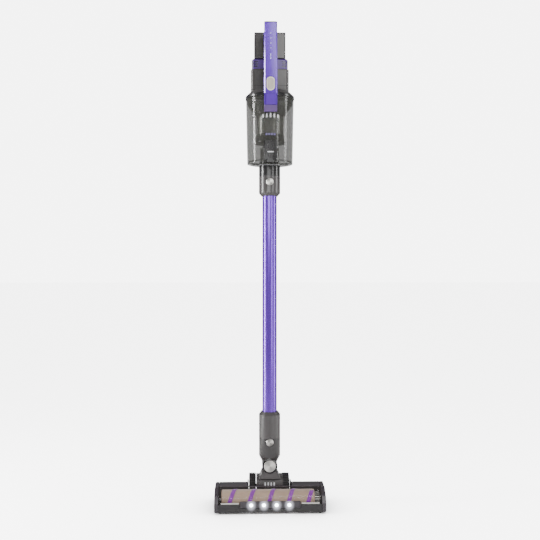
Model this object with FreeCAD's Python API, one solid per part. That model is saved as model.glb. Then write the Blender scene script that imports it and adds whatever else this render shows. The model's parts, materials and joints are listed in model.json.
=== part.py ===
"""Cordless stick vacuum, standing upright on its powered floor head.

Frame: X to the right, +Z up, the floor head and the handle face -Y. While the pieces are made, the
wand's axis is at x = 0, y = 0 and the floor is z = 0. Then save() moves them all by FRAME_SHIFT_Y so
that the origin is the centre of the base of the whole vacuum's box. All sizes are in millimetres.
"""
import FreeCAD, Part
import math
import os

V = FreeCAD.Vector

# ---- general clearances -------------------------------------------------------------------------
GAP = 0.4            # between pieces that move past each other, and between faces that only meet
FIT = 0.05           # radial running fit of a shaft in its hole

# ---- floor head ---------------------------------------------------------------------------------
HEAD_WIDTH = 255.0
HEAD_WALL = 2.4
HEAD_LIFT = 4.0      # underside of the base above the floor
CAP_THICK = 9.5      # each end cap
ROLLER_RADIUS = 23.5
ROLLER_Y = -32.0     # the roller's axis, in front of the wand's
ROLLER_LIFT = 0.5    # nap above the floor, so the wheels and glides carry the weight
ROLLER_ROOM = 7.0    # from the roller's plain end to the end cap
NAP = 4.0            # thickness of the velvet sleeve
TUBE_WALL = 2.5      # the roller's inner tube
STRIPE_WIDTH = 10.0
STRIPE_COUNT = 5
PIN_RADIUS = 3.0     # the roller's pins
PULLEY_HUB_RADIUS = 15.0
PULLEY_HUB = 7.0     # length of the hub between the sleeve and the belt's seat
PULLEY_WIDTH = 5.0
VISOR_GAP = 1.5
VISOR_WALL = 2.0
VISOR_FLAT = 12.0    # flat part of the window, behind the roller's axis
VISOR_DIP = 93.0     # degrees that the window reaches forward of its top
VISOR_INSET = 5.0    # the window's front behind the bumper's
LIGHT_COUNT = 4
LIGHT_RISE = 5.0     # top of the light bar above the roller's axis
LIGHT_HEIGHT = 15.0
LIGHT_PITCH = 28.8
LIGHT_RADIUS = 4.2
LIGHT_BAR_HALF = 69.0
BUMPER_DEPTH = 6.0
BUMPER_WEB = 1.5     # rubber left behind the light bar
AXLE_RADIUS = 4.0
WHEEL_RADIUS = 30.0
WHEEL_WIDTH = 17.0
WHEEL_INNER = 31.5   # from the middle to each wheel's inner face
TYRE_THICK = 4.0
EAR_INNER = 23.5
EAR_THICK = 4.0
EAR_RADIUS = 26.0
GLIDE_WIDTH = 6.0
GLIDE_LENGTH = 16.0
MOTOR_RADIUS = 13.0
MOTOR_LENGTH = 44.0
MOTOR_ROOM = 2.6     # from the chamber's wall to the motor
LOBE_DEPTH = 15.0    # from the motor to the back of the two lobes beside the neck
AXLE_BACK = 16.0     # from there to the wheels' axle
BELT_THICK = 1.6
BELT_GAP = 0.15      # hair of room under the belt
BELT_WHEEL = 11.0    # radius of the belt's seat on the roller
MOTOR_WHEEL = 6.0    # radius of the motor's pulley
MOTOR_SHAFT = 2.0

HEAD_HALF = HEAD_WIDTH / 2
BODY_X = HEAD_HALF - CAP_THICK                  # outer face of the head between the end caps
BELT_X = BODY_X - 3.0 - PULLEY_WIDTH            # left edge of the belt and of the motor's pulley
ROLLER_LEFT = -BODY_X + ROLLER_ROOM
ROLLER_RIGHT = BELT_X - 1.0 - PULLEY_HUB
ROLLER_LENGTH = ROLLER_RIGHT - ROLLER_LEFT
ROLLER_Z = ROLLER_RADIUS + ROLLER_LIFT
VISOR_INNER = ROLLER_RADIUS + VISOR_GAP
VISOR_OUTER = VISOR_INNER + VISOR_WALL
VISOR_BACK = ROLLER_Y + VISOR_FLAT
HEAD_TOP = ROLLER_Z + VISOR_OUTER
HEAD_FRONT = ROLLER_Y - VISOR_OUTER - VISOR_INSET
LIGHT_TOP = ROLLER_Z + LIGHT_RISE
LIGHT_LOW = LIGHT_TOP - LIGHT_HEIGHT
CHAMBER_BACK = ROLLER_Y + VISOR_OUTER + 1.0     # front face of the wall behind the roller
MOTOR_Y = CHAMBER_BACK + HEAD_WALL + MOTOR_RADIUS + MOTOR_ROOM
MOTOR_Z = HEAD_LIFT + HEAD_WALL + MOTOR_RADIUS + 1
HEAD_REAR = MOTOR_Y + MOTOR_RADIUS + LOBE_DEPTH
AXLE_Y = HEAD_REAR + AXLE_BACK
AXLE_Z = WHEEL_RADIUS

# ---- neck and elbow -----------------------------------------------------------------------------
NECK_HALF = 31.0     # the wide block in front of the wheels
NECK_REACH = 10.0    # how far that block stands forward over the chamber
NECK_SINK = 12.5     # its underside below the head's top, just over the duct
NECK_RISE = 18.0     # its top above the head's top
BARREL_RADIUS = 20.0
PIVOT_RISE = 28.0    # side-to-side pivot above the block
PIVOT_RADIUS = 18.0
TONGUE_HALF = 12.4   # half the thickness of the elbow's tongue
CHEEK_THICK = 6.0
STUB_RADIUS = 4.0
DISC_RADIUS = 14.0
DISC_THICK = 2.5
AIRWAY_RADIUS = 11.0
CHAMFER = 7.0
BUTTON_RADIUS = 8.5
BUTTON_TRAVEL = 3.0
WAND_RADIUS = 17.0
COLLAR_WALL = 8.0    # the elbow and the upper collar, outside the wand

NECK_FRONT = CHAMBER_BACK - NECK_REACH
NECK_LOW = HEAD_TOP - NECK_SINK
NECK_TOP = HEAD_TOP + NECK_RISE
PIVOT_Z = NECK_TOP + PIVOT_RISE
CHEEK_FRONT = -(TONGUE_HALF + GAP + CHEEK_THICK)
ELBOW_RADIUS = WAND_RADIUS + COLLAR_WALL
ELBOW_TAPER_LOW = PIVOT_Z + 7.0
ELBOW_TAPER_TOP = PIVOT_Z + 22.0
LOWER_BUTTON_Z = PIVOT_Z + 56.0
ELBOW_SEAM = PIVOT_Z + 63.0
ELBOW_TOP = PIVOT_Z + 125.0

# ---- wand ---------------------------------------------------------------------------------------
WAND_LENGTH = 570.0
WAND_WALL = 1.4
WAND_SEAT = 12.0     # depth of the tube in the upper collar
COLLAR_HEIGHT = 46.0
SPIGOT_DEPTH = 30.0  # how far the dust cup's nozzle plugs into the wand's collar

WAND_LOW = PIVOT_Z + 71.0                       # the end that sits in the elbow
COLLAR_LOW = WAND_LOW + WAND_LENGTH - WAND_SEAT
COLLAR_TOP = COLLAR_LOW + COLLAR_HEIGHT
COLLAR_RADIUS = WAND_RADIUS + COLLAR_WALL
UPPER_BUTTON_Z = COLLAR_TOP - 14.0

# ---- dust cup -----------------------------------------------------------------------------------
CUP_HEIGHT = 148.0
CUP_RADIUS_TOP = 55.2
CUP_TAPER = 2.8      # the bin's foot is narrower by this
CUP_WALL = 2.2
CUP_FLOOR = 3.5
RIM_HEIGHT = 6.0
NOZZLE_HEIGHT = 25.0
DUCT_Y = -2.0
DUCT_WALL = 2.0
SKIRT_HEIGHT = 16.0
SHROUD_HEIGHT = 46.0
SHROUD_INSET = 5.0   # the sleeve inside the skirt's edge
HINGE_RADIUS = 1.5
KNUCKLE_RADIUS = 3.0
LUG_PLACES = (-41, 33)   # left ends of the bin's two hinge lugs
LUG_WIDTH = 8.0
LATCH_HALF = 14.0
LATCH_HEIGHT = 43.0
LATCH_THICK = 3.5
LATCH_STANDOFF = 2.8
HOOK_HALF = 8.0      # half width of the latch's hook and stem
HOOK_DEEP = 2.6      # underside of the hook, below the door
FUNNEL_WALL = 1.8
FILTER_OUTER = 24.0  # washable filter in the funnel
FILTER_INNER = 14.0

PORT_LOW = COLLAR_TOP + GAP
PORT_RADIUS = COLLAR_RADIUS
PORT_BORE = WAND_RADIUS - 1.0
DUCT_RADIUS = PORT_BORE + 5.5
CUP_LOW = COLLAR_TOP + NOZZLE_HEIGHT
CUP_TOP = CUP_LOW + CUP_HEIGHT
CUP_RADIUS_LOW = CUP_RADIUS_TOP - CUP_TAPER
CUP_Y = DUCT_Y + DUCT_RADIUS + 2.7 + CUP_WALL - CUP_RADIUS_LOW    # the duct stands inside its back
RIM_RADIUS = CUP_RADIUS_TOP + 1.0
RIM_TOP = CUP_TOP + RIM_HEIGHT
RIM_FRONT = CUP_Y - RIM_RADIUS - GAP            # back of what hangs in front of the rim
SHROUD_TOP = CUP_TOP - 38.0
SKIRT_TOP = SHROUD_TOP - SHROUD_HEIGHT
SKIRT_LOW = SKIRT_TOP - SKIRT_HEIGHT
SKIRT_RADIUS = CUP_RADIUS_LOW - 16.4
SHROUD_RADIUS = SKIRT_RADIUS - SHROUD_INSET
CONE_TOP = CUP_TOP - 11.0
HINGE_Y = -PORT_RADIUS - 3.0                    # door hinge line, just in front of the nozzle
LATCH_LOW = CUP_LOW + 3.0
LATCH_TOP = LATCH_LOW + LATCH_HEIGHT

# ---- power unit ---------------------------------------------------------------------------------
BODY_HEIGHT = 55.5
BODY_WALL = 2.5
BODY_CORNER = 9.0
THROAT_RADIUS = 18.0  # air passage from the filter up to the impeller
VENT_HEIGHT = 24.5
VENT_SLOTS = 5
SUCTION_MOTOR_RADIUS = 27.0
SUCTION_MOTOR_Y = 12.0
IMPELLER_RADIUS = 24.0
BLADE_COUNT = 9
DOCK_DEPTH = 20.5    # from the housing's front to the battery pack
PACK_WALL = 1.5
SOCKET_X = 22.0
SOCKET_OUTER = 4.5
SOCKET_BORE = 2.8
SOCKET_DEPTH = 9.0
CELL_RADIUS = 9.2
CELL_LENGTH = 65.0
CELL_ROOM = 0.2      # between the cells, and round them
CELL_ROWS = (3, 3, 2)
CELL_START = 5.5     # from the pack's front face to its first cells
RAIL_INNER = 20.0    # the dock's rails, either side of the middle
RAIL_OUTER = 26.0
PUSH_HALF = 9.0      # the pack's release button
PUSH_LOW = 16.0      # below the pack's top
PUSH_TOP = 4.0

CELL_PITCH = 2 * CELL_RADIUS + CELL_ROOM
BODY_LOW = RIM_TOP + 11.0
BODY_FLOOR = BODY_LOW + BODY_WALL
BODY_TOP = BODY_LOW + BODY_HEIGHT
VENT_TOP = BODY_TOP + VENT_HEIGHT
DOCK_LOW = VENT_TOP + GAP
PACK_TOP = DOCK_LOW + GAP + 2 * (PACK_WALL + CELL_ROOM) + len(CELL_ROWS) * CELL_PITCH
PACK_HALF = CELL_LENGTH / 2 + PACK_WALL + 2.25
BODY_FRONT = SUCTION_MOTOR_Y - SUCTION_MOTOR_RADIUS - 15.0
PACK_SPLIT = BODY_FRONT + DOCK_DEPTH            # front face of the battery pack, behind the dock
PACK_REAR = PACK_SPLIT + CELL_START + CELL_ROOM + max(CELL_ROWS) * CELL_PITCH + 1.5 + PACK_WALL
BODY_REAR = max(PACK_REAR, SUCTION_MOTOR_Y + SUCTION_MOTOR_RADIUS + 16.0)
VENT_HALF = max(PACK_HALF + 5.65, SUCTION_MOTOR_RADIUS + 14.9)
BODY_HALF = VENT_HALF + 2.3

# ---- handle -------------------------------------------------------------------------------------
HANDLE_HALF = 14.5
GRIP_DEPTH = 30.0    # front to back, enough to fill a hand with the rear rounding
GRIP_SKIN = 11.0     # depth of the coloured front shell
ARM_THICK = 18.0     # upper arm, from the grip back to the body
TIP_THICK = 10.4     # what hangs down in front of the bin
TIP_HEIGHT = 14.0
RELEASE_HEIGHT = 26.0
RELEASE_TRAVEL = 2.5
POWER_BUTTON_HALF = 9.5
POWER_BUTTON_LENGTH = 31.0

HANDLE_FRONT = RIM_FRONT - TIP_THICK
HANDLE_TOP = PACK_TOP + 3.0
HANDLE_LOW = CUP_TOP - 39.0
TIP_TOP = HANDLE_LOW + TIP_HEIGHT
RELEASE_TOP = TIP_TOP + RELEASE_HEIGHT
POWER_BUTTON_Z = BODY_LOW + 5.0
FOOT_TOP = BODY_LOW + 12.0                      # top of the lower arm

FRAME_SHIFT_Y = -(HANDLE_FRONT + AXLE_Y + WHEEL_RADIUS) / 2


# ---- shape helpers ------------------------------------------------------------------------------
def block(x0, x1, y0, y1, z0, z1):
    return Part.makeBox(x1 - x0, y1 - y0, z1 - z0, V(x0, y0, z0))


def upright(radius, z0, z1, x=0.0, y=0.0):
    return Part.makeCylinder(radius, z1 - z0, V(x, y, z0), V(0, 0, 1))


def crosswise(radius, x0, x1, y, z):
    return Part.makeCylinder(radius, x1 - x0, V(x0, y, z), V(1, 0, 0))


def endwise(radius, y0, y1, x, z):
    return Part.makeCylinder(radius, y1 - y0, V(x, y0, z), V(0, 1, 0))


def tube(outer, inner, z0, z1, x=0.0, y=0.0):
    return upright(outer, z0, z1, x, y).cut(upright(inner, z0 - 1, z1 + 1, x, y))


def tube_x(outer, inner, x0, x1, y, z):
    return crosswise(outer, x0, x1, y, z).cut(crosswise(inner, x0 - 1, x1 + 1, y, z))


def turned(profile, y=0.0):
    """Solid turned about the vertical line through (0, y) from (radius, z) points."""
    points = [V(r, y, z) for r, z in profile]
    face = Part.Face(Part.makePolygon(points + points[:1]))
    return face.revolve(V(0, y, 0), V(0, 0, 1), 360)


def side_prism(profile, x0, x1):
    """Solid between two planes of constant x from (y, z) points."""
    points = [V(x0, y, z) for y, z in profile]
    face = Part.Face(Part.makePolygon(points + points[:1]))
    return face.extrude(V(x1 - x0, 0, 0))


def front_prism(profile, y0, y1):
    """Solid between two planes of constant y from (x, z) points."""
    points = [V(x, y0, z) for x, z in profile]
    face = Part.Face(Part.makePolygon(points + points[:1]))
    return face.extrude(V(0, y1 - y0, 0))


def join(first, *others):
    return first.multiFuse(list(others)).removeSplitter()


def along(shape, axis):
    """Straight edges of the shape that run along the given axis."""
    direction = {"x": V(1, 0, 0), "y": V(0, 1, 0), "z": V(0, 0, 1)}[axis]
    found = []
    for edge in shape.Edges:
        if isinstance(edge.Curve, (Part.Line, Part.LineSegment)):
            if abs(edge.tangentAt(edge.FirstParameter).dot(direction)) > 0.999:
                found.append(edge)
    return found


def rounded_block(x0, x1, y0, y1, z0, z1, radius, axis="z"):
    solid = block(x0, x1, y0, y1, z0, z1)
    return solid.makeFillet(radius, along(solid, axis))


def slot_shape(half, length, y0, y1, z):
    """A pill standing upright, from y0 to y1, round at both ends."""
    reach = length / 2 - half
    middle = block(-half, half, y0, y1, z - reach, z + reach)
    return join(middle, endwise(half, y0, y1, 0, z - reach), endwise(half, y0, y1, 0, z + reach))


def compound(shapes):
    return Part.makeCompound(shapes)


# ---- floor head ---------------------------------------------------------------------------------
def head_base():
    """Pan, mouth, chamber wall, duct, axle ears, and the saddle that the neck's barrel sits in."""
    top = ROLLER_Z + 12
    pan = block(-BODY_X, BODY_X, HEAD_FRONT + BUMPER_DEPTH + GAP, HEAD_REAR, HEAD_LIFT, HEAD_LIFT + HEAD_WALL)
    mouth = block(ROLLER_LEFT - 2, ROLLER_RIGHT + 2, ROLLER_Y - VISOR_INNER + 3, CHAMBER_BACK, 0,
                  2 * ROLLER_Z)
    back = block(-BODY_X, BODY_X, CHAMBER_BACK, CHAMBER_BACK + HEAD_WALL, HEAD_LIFT, top)
    rear = block(-BODY_X, BODY_X, HEAD_REAR - HEAD_WALL, HEAD_REAR, HEAD_LIFT, HEAD_LIFT + 12)
    pan = pan.cut(mouth)
    behind = CHAMBER_BACK + HEAD_WALL
    lip = bay_front() + GAP
    deck = side_prism([(lip, top + 6.6), (lip, top + 8.4), (CHAMBER_BACK, top + 1.6), (behind, top + 0.1),
                       (behind, top - 1.5)], -bay_half(), bay_half())
    inner = EAR_INNER
    roof = NECK_LOW - GAP - HEAD_WALL
    duct = block(-inner, inner, CHAMBER_BACK, AXLE_Y, HEAD_LIFT, roof + HEAD_WALL)
    airway = block(-inner + 3, inner - 3, CHAMBER_BACK - 1, AXLE_Y, HEAD_LIFT + HEAD_WALL + 1, roof)
    swing = crosswise(BARREL_RADIUS + GAP, -HEAD_HALF, HEAD_HALF, AXLE_Y, AXLE_Z)
    ears = []
    for side in (-1, 1):
        x0 = min(side * EAR_INNER, side * (EAR_INNER + EAR_THICK))
        ear = crosswise(EAR_RADIUS, x0, x0 + EAR_THICK, AXLE_Y, AXLE_Z)
        foot = block(x0, x0 + EAR_THICK, CHAMBER_BACK + HEAD_WALL, AXLE_Y, HEAD_LIFT, AXLE_Z)
        ears.append(ear.fuse(foot))
    solid = join(pan, back, rear, duct, deck, *ears).cut(airway)
    clear = block(-inner, inner, AXLE_Y - 40, AXLE_Y + 40, AXLE_Z - BARREL_RADIUS, AXLE_Z + 40)
    solid = solid.cut(swing.common(clear.fuse(block(-inner, inner, AXLE_Y - 40, AXLE_Y + 40, 0, AXLE_Z))))
    solid = solid.cut(crosswise(AXLE_RADIUS, -EAR_INNER - 9, EAR_INNER + 9, AXLE_Y, AXLE_Z))
    for side in (-1, 1):
        ends = sorted((side * (WHEEL_INNER - 2), side * (WHEEL_INNER + WHEEL_WIDTH + 2)))
        solid = solid.cut(crosswise(WHEEL_RADIUS + 2, ends[0], ends[1], AXLE_Y, AXLE_Z))
    belt_slot = block(BELT_X - 1, BELT_X + PULLEY_WIDTH + 1, CHAMBER_BACK - 1, CHAMBER_BACK + 4,
                      HEAD_LIFT + HEAD_WALL, 2 * ROLLER_Z)
    return solid.cut(belt_slot)


def bay_front():
    """Front edge of the cover's bay for the neck."""
    return NECK_FRONT - 1.5


def bay_half():
    return WHEEL_INNER + WHEEL_WIDTH + 3


def head_top_cover():
    """Roof of the head, with a bay in the middle for the neck and the wheels."""
    front = VISOR_BACK + GAP
    low = HEAD_LIFT + HEAD_WALL + GAP
    slope_z = HEAD_LIFT + 20
    skirt_z = ROLLER_Z + 12 + GAP
    brow = MOTOR_Y + 4
    outer = [(front, HEAD_TOP), (brow, HEAD_TOP), (HEAD_REAR + 6, slope_z), (HEAD_REAR + 6, low + 10)]
    outer += [(HEAD_REAR + GAP, low + 10), (HEAD_REAR + GAP, slope_z - 1)]
    outer += [(brow - 1, HEAD_TOP - HEAD_WALL)]
    outer += [(CHAMBER_BACK + HEAD_WALL, HEAD_TOP - HEAD_WALL), (CHAMBER_BACK + HEAD_WALL, skirt_z)]
    outer += [(CHAMBER_BACK, skirt_z), (CHAMBER_BACK, HEAD_TOP - HEAD_WALL), (front, HEAD_TOP - HEAD_WALL)]
    roof = side_prism(outer, -BODY_X, BODY_X)
    bay = block(-bay_half(), bay_half(), bay_front(), 200, 0, 100)
    return roof.cut(bay)


def visor():
    """Smoked window, an arc round the roller that runs flat to its back edge."""
    arc = crosswise(VISOR_OUTER, -BODY_X, BODY_X, ROLLER_Y, ROLLER_Z)
    arc = arc.cut(crosswise(VISOR_INNER, -BODY_X - 1, BODY_X + 1, ROLLER_Y, ROLLER_Z))
    reach = 3 * VISOR_OUTER
    dip = math.radians(VISOR_DIP)
    edge_y = ROLLER_Y - reach * math.sin(dip)
    edge_z = ROLLER_Z + reach * math.cos(dip)
    wedge = side_prism([(ROLLER_Y, ROLLER_Z), (edge_y, edge_z), (edge_y, edge_z + reach),
                        (ROLLER_Y, ROLLER_Z + 2 * reach)], -HEAD_WIDTH, HEAD_WIDTH)
    top = ROLLER_Z + VISOR_OUTER
    flat = block(-BODY_X, BODY_X, ROLLER_Y, VISOR_BACK, top - VISOR_WALL, top)
    return join(arc.common(wedge), flat)


def visor_low_z():
    return ROLLER_Z + VISOR_INNER * math.cos(math.radians(VISOR_DIP))


def bumper():
    """Rubber lip along the front, dropped in the middle to make room for the light bar."""
    high = visor_low_z() - GAP
    low = HEAD_LIFT
    y0 = HEAD_FRONT
    y1 = HEAD_FRONT + BUMPER_DEPTH
    strip = block(-BODY_X, BODY_X, y0, y1, low, high)
    strip = strip.makeFillet(2.0, [e for e in along(strip, "x") if e.BoundBox.YMax < y0 + 0.01])
    bay = block(-LIGHT_BAR_HALF - GAP, LIGHT_BAR_HALF + GAP, y0 - 1, y1 - BUMPER_WEB, LIGHT_LOW - GAP,
                high + 1)
    return strip.cut(bay)


def light_z():
    return (LIGHT_LOW + LIGHT_TOP) / 2 - 0.5


def light_bar_back():
    return HEAD_FRONT + BUMPER_DEPTH - BUMPER_WEB - GAP


def light_bar():
    """Housing of the lights, standing in the bumper's bay and up in front of the window."""
    y0 = HEAD_FRONT
    y1 = light_bar_back()
    bar = block(-LIGHT_BAR_HALF, LIGHT_BAR_HALF, y0, y1, LIGHT_LOW, LIGHT_TOP)
    bar = bar.makeFillet(1.5, [e for e in along(bar, "x") if e.BoundBox.YMax < y0 + 0.01])
    for x in light_places():
        bar = bar.cut(endwise(LIGHT_RADIUS, y0 - 1, y1 - 1, x, light_z()))
    return bar


def light_places():
    first = -(LIGHT_COUNT - 1) / 2
    return [(first + i) * LIGHT_PITCH for i in range(LIGHT_COUNT)]


def light_lenses():
    lenses = []
    y1 = light_bar_back() - 1
    for x in light_places():
        lenses.append(endwise(LIGHT_RADIUS - FIT, HEAD_FRONT + 0.6, y1, x, light_z()))
    return compound(lenses)


def visor_trim():
    """Two bright strips on the bumper's shelf, one each side of the light bar."""
    strips = []
    z = visor_low_z()
    for side in (-1, 1):
        ends = sorted((side * (LIGHT_BAR_HALF + 2), side * (BODY_X - 6)))
        y1 = ROLLER_Y - VISOR_OUTER - GAP
        strips.append(block(ends[0], ends[1], y1 - 3.0, y1, z - GAP / 2, z + 3.2))
    return compound(strips)


def end_cap(side):
    """Rounded cheek that closes one end of the head."""
    profile = [(HEAD_FRONT, HEAD_LIFT - 1), (HEAD_FRONT, ROLLER_Z), (HEAD_FRONT + 9, HEAD_TOP - 12),
               (ROLLER_Y + 4, HEAD_TOP), (MOTOR_Y + 4, HEAD_TOP), (HEAD_REAR + 4, HEAD_LIFT + 22),
               (HEAD_REAR + 4, HEAD_LIFT - 1)]
    ends = sorted((side * (BODY_X + GAP), side * HEAD_HALF))
    cap = side_prism(profile, ends[0], ends[1])
    cap = cap.makeFillet(4.0, along(cap, "x"))
    outer = [e for e in cap.Edges if abs(e.BoundBox.XMin - side * HEAD_HALF) < 0.01
             and abs(e.BoundBox.XMax - side * HEAD_HALF) < 0.01]
    cap = cap.makeFillet(3.0, outer)
    if side < 0:
        return cap
    well = crosswise(13.0, BODY_X + GAP - 1, BODY_X + GAP + 2.0, ROLLER_Y, ROLLER_Z)
    return cap.cut(well)


def glides():
    """Ribbed rubber pads under the front corners, fixed to the base."""
    pads = []
    y = HEAD_FRONT + BUMPER_DEPTH + 2
    for side in (-1, 1):
        ends = sorted((side * (BODY_X - 0.5), side * (BODY_X - 0.5 - GLIDE_WIDTH)))
        pads.append(rounded_block(ends[0], ends[1], y, y + GLIDE_LENGTH, 0, HEAD_LIFT, 2.0))
    return compound(pads)


def roller_core():
    """Rigid tube of the roller, with a boss at each end."""
    radius = ROLLER_RADIUS - NAP
    core = crosswise(radius, ROLLER_LEFT, ROLLER_RIGHT, ROLLER_Y, ROLLER_Z)
    bore = crosswise(radius - TUBE_WALL, ROLLER_LEFT + 4, ROLLER_RIGHT - 4, ROLLER_Y, ROLLER_Z)
    pin_hole = crosswise(PIN_RADIUS + FIT, ROLLER_LEFT - 1, ROLLER_LEFT + 5, ROLLER_Y, ROLLER_Z)
    return core.cut(bore).cut(pin_hole)


def roller_sleeve():
    """Velvet sleeve round the core."""
    inner = crosswise(ROLLER_RADIUS - NAP, ROLLER_LEFT, ROLLER_RIGHT, ROLLER_Y, ROLLER_Z)
    return crosswise(ROLLER_RADIUS - 0.8, ROLLER_LEFT, ROLLER_RIGHT, ROLLER_Y, ROLLER_Z).cut(inner)


def roller_stripes():
    """Raised nap in narrow bands round the sleeve."""
    low = ROLLER_RADIUS - 0.75
    bands = []
    for i in range(STRIPE_COUNT):
        middle = ROLLER_LEFT + (i + 0.5) * ROLLER_LENGTH / STRIPE_COUNT
        bands.append(tube_x(ROLLER_RADIUS, low, middle - STRIPE_WIDTH / 2, middle + STRIPE_WIDTH / 2,
                            ROLLER_Y, ROLLER_Z))
    return compound(bands)


def roller_pulley():
    """Toothed end of the roller that the belt drives."""
    x0 = ROLLER_RIGHT
    hub = crosswise(PULLEY_HUB_RADIUS, x0, x0 + PULLEY_HUB, ROLLER_Y, ROLLER_Z)
    wheel = crosswise(BELT_WHEEL, x0 + PULLEY_HUB, BODY_X - 2, ROLLER_Y, ROLLER_Z)
    bore = crosswise(PIN_RADIUS + FIT, x0 + 3, BODY_X, ROLLER_Y, ROLLER_Z)
    return join(hub, wheel).cut(bore)


def roller_pins():
    """Short steel pins at the roller's ends, standing in the end cap and the side of the base."""
    left = crosswise(PIN_RADIUS, -BODY_X + 0.2, ROLLER_LEFT + 3.5, ROLLER_Y, ROLLER_Z)
    right = crosswise(PIN_RADIUS, ROLLER_RIGHT + 4, BODY_X, ROLLER_Y, ROLLER_Z)
    return compound([left, right])


def brush_motor():
    x1 = BELT_X - 6
    can = crosswise(MOTOR_RADIUS, x1 - MOTOR_LENGTH, x1, MOTOR_Y, MOTOR_Z)
    shaft = crosswise(MOTOR_SHAFT, x1, BELT_X + PULLEY_WIDTH, MOTOR_Y, MOTOR_Z)
    return join(can, shaft)


def motor_pulley():
    x0 = BELT_X
    return tube_x(MOTOR_WHEEL, MOTOR_SHAFT + FIT, x0, x0 + PULLEY_WIDTH, MOTOR_Y, MOTOR_Z)


def belt_outline(extra):
    """Solid inside a loop that lies this far outside both pulleys."""
    x0 = BELT_X
    x1 = x0 + PULLEY_WIDTH
    big = BELT_WHEEL + extra
    small = MOTOR_WHEEL + extra
    dy = MOTOR_Y - ROLLER_Y
    dz = MOTOR_Z - ROLLER_Z
    lean = math.atan2(dz, dy)
    dip = math.acos((big - small) / math.hypot(dy, dz))
    corners = []
    for y, z, radius, sign in ((ROLLER_Y, ROLLER_Z, big, 1), (MOTOR_Y, MOTOR_Z, small, 1),
                               (MOTOR_Y, MOTOR_Z, small, -1), (ROLLER_Y, ROLLER_Z, big, -1)):
        angle = lean + sign * dip
        corners.append((y + radius * math.cos(angle), z + radius * math.sin(angle)))
    ends = [crosswise(big, x0, x1, ROLLER_Y, ROLLER_Z), crosswise(small, x0, x1, MOTOR_Y, MOTOR_Z)]
    return join(side_prism(corners, x0, x1), *ends)


def drive_belt():
    """Closed belt over the two pulleys, standing clear of both by a hair."""
    return belt_outline(BELT_GAP + BELT_THICK).cut(belt_outline(BELT_GAP))


def wheel_axle():
    half = WHEEL_INNER + WHEEL_WIDTH - 2
    return crosswise(AXLE_RADIUS, -half, half, AXLE_Y, AXLE_Z)


def wheel_ends(side):
    return sorted((side * WHEEL_INNER, side * (WHEEL_INNER + WHEEL_WIDTH)))


def wheel_hub(side):
    x0, x1 = wheel_ends(side)
    hub = crosswise(WHEEL_RADIUS - TYRE_THICK, x0 + 1, x1 - 1, AXLE_Y, AXLE_Z)
    if side < 0:
        bore = crosswise(AXLE_RADIUS + FIT, x0 + 1.8, x1, AXLE_Y, AXLE_Z)
    else:
        bore = crosswise(AXLE_RADIUS + FIT, x0, x1 - 1.8, AXLE_Y, AXLE_Z)
    return hub.cut(bore)


def wheel_tyre(side):
    x0, x1 = wheel_ends(side)
    tyre = crosswise(WHEEL_RADIUS, x0, x1, AXLE_Y, AXLE_Z)
    tyre = tyre.makeFillet(2.5, tyre.Edges[:1] + [e for e in tyre.Edges[1:] if e.Closed])
    return tyre.cut(crosswise(WHEEL_RADIUS - TYRE_THICK, x0 - 1, x1 + 1, AXLE_Y, AXLE_Z))


# ---- neck ---------------------------------------------------------------------------------------
def neck_yoke():
    """Barrel on the axle, the block in front of it, and the fork that holds the elbow."""
    front = CHEEK_FRONT
    back = -CHEEK_FRONT
    inner = EAR_INNER - GAP
    barrel = crosswise(BARREL_RADIUS, -inner, inner, AXLE_Y, AXLE_Z)
    root = AXLE_Y - 38
    arm = side_prism([(root, NECK_LOW), (AXLE_Y - BARREL_RADIUS + 4, NECK_LOW),
                      (AXLE_Y, AXLE_Z + BARREL_RADIUS - 1), (AXLE_Y - 18, NECK_TOP - 7), (root, NECK_TOP)],
                     -inner, inner)
    face = side_prism([(NECK_FRONT, HEAD_TOP - 5), (NECK_FRONT, NECK_TOP - 8), (NECK_FRONT + 4, NECK_TOP - 3),
                       (NECK_FRONT + 10, NECK_TOP), (root + 5, NECK_TOP), (root + 5, NECK_LOW),
                       (CHAMBER_BACK + 6, NECK_LOW)], -NECK_HALF, NECK_HALF)
    face = face.makeFillet(2.5, [e for e in along(face, "x") if e.BoundBox.YMax < root - 10])
    stem = front_prism([(-25, NECK_TOP - 2), (-PIVOT_RADIUS, PIVOT_Z - 14), (PIVOT_RADIUS, PIVOT_Z - 14),
                        (25, NECK_TOP - 2)], front, back)
    drum = endwise(PIVOT_RADIUS, front, back, 0, PIVOT_Z)
    solid = join(barrel, arm, face, stem, drum)
    room = endwise(PIVOT_RADIUS + GAP, -TONGUE_HALF - GAP, TONGUE_HALF + GAP, 0, PIVOT_Z)
    above = block(-30, 30, -TONGUE_HALF - GAP, TONGUE_HALF + GAP, PIVOT_Z, PIVOT_Z + 30)
    solid = solid.cut(room).cut(above)
    solid = solid.cut(endwise(STUB_RADIUS, front - 1, back + 1, 0, PIVOT_Z))
    airway = upright(AIRWAY_RADIUS, NECK_LOW + 4, PIVOT_Z)
    duct = block(-inner + 4, inner - 4, 4, AXLE_Y, NECK_LOW + 4, NECK_LOW + 16)
    hollow = crosswise(BARREL_RADIUS - 3, -inner + 4, inner - 4, AXLE_Y, AXLE_Z)
    window = block(-inner + 4, inner - 4, AXLE_Y - 30, AXLE_Y - 8, AXLE_Z - 11, AXLE_Z + 3)
    shell = solid.cut(airway).cut(hollow).cut(duct.common(solid)).cut(window)
    sleeve = crosswise(AXLE_RADIUS + 3, -inner, inner, AXLE_Y, AXLE_Z)
    return join(shell, sleeve).cut(crosswise(AXLE_RADIUS + FIT, -inner - 1, inner + 1, AXLE_Y, AXLE_Z))


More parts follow.
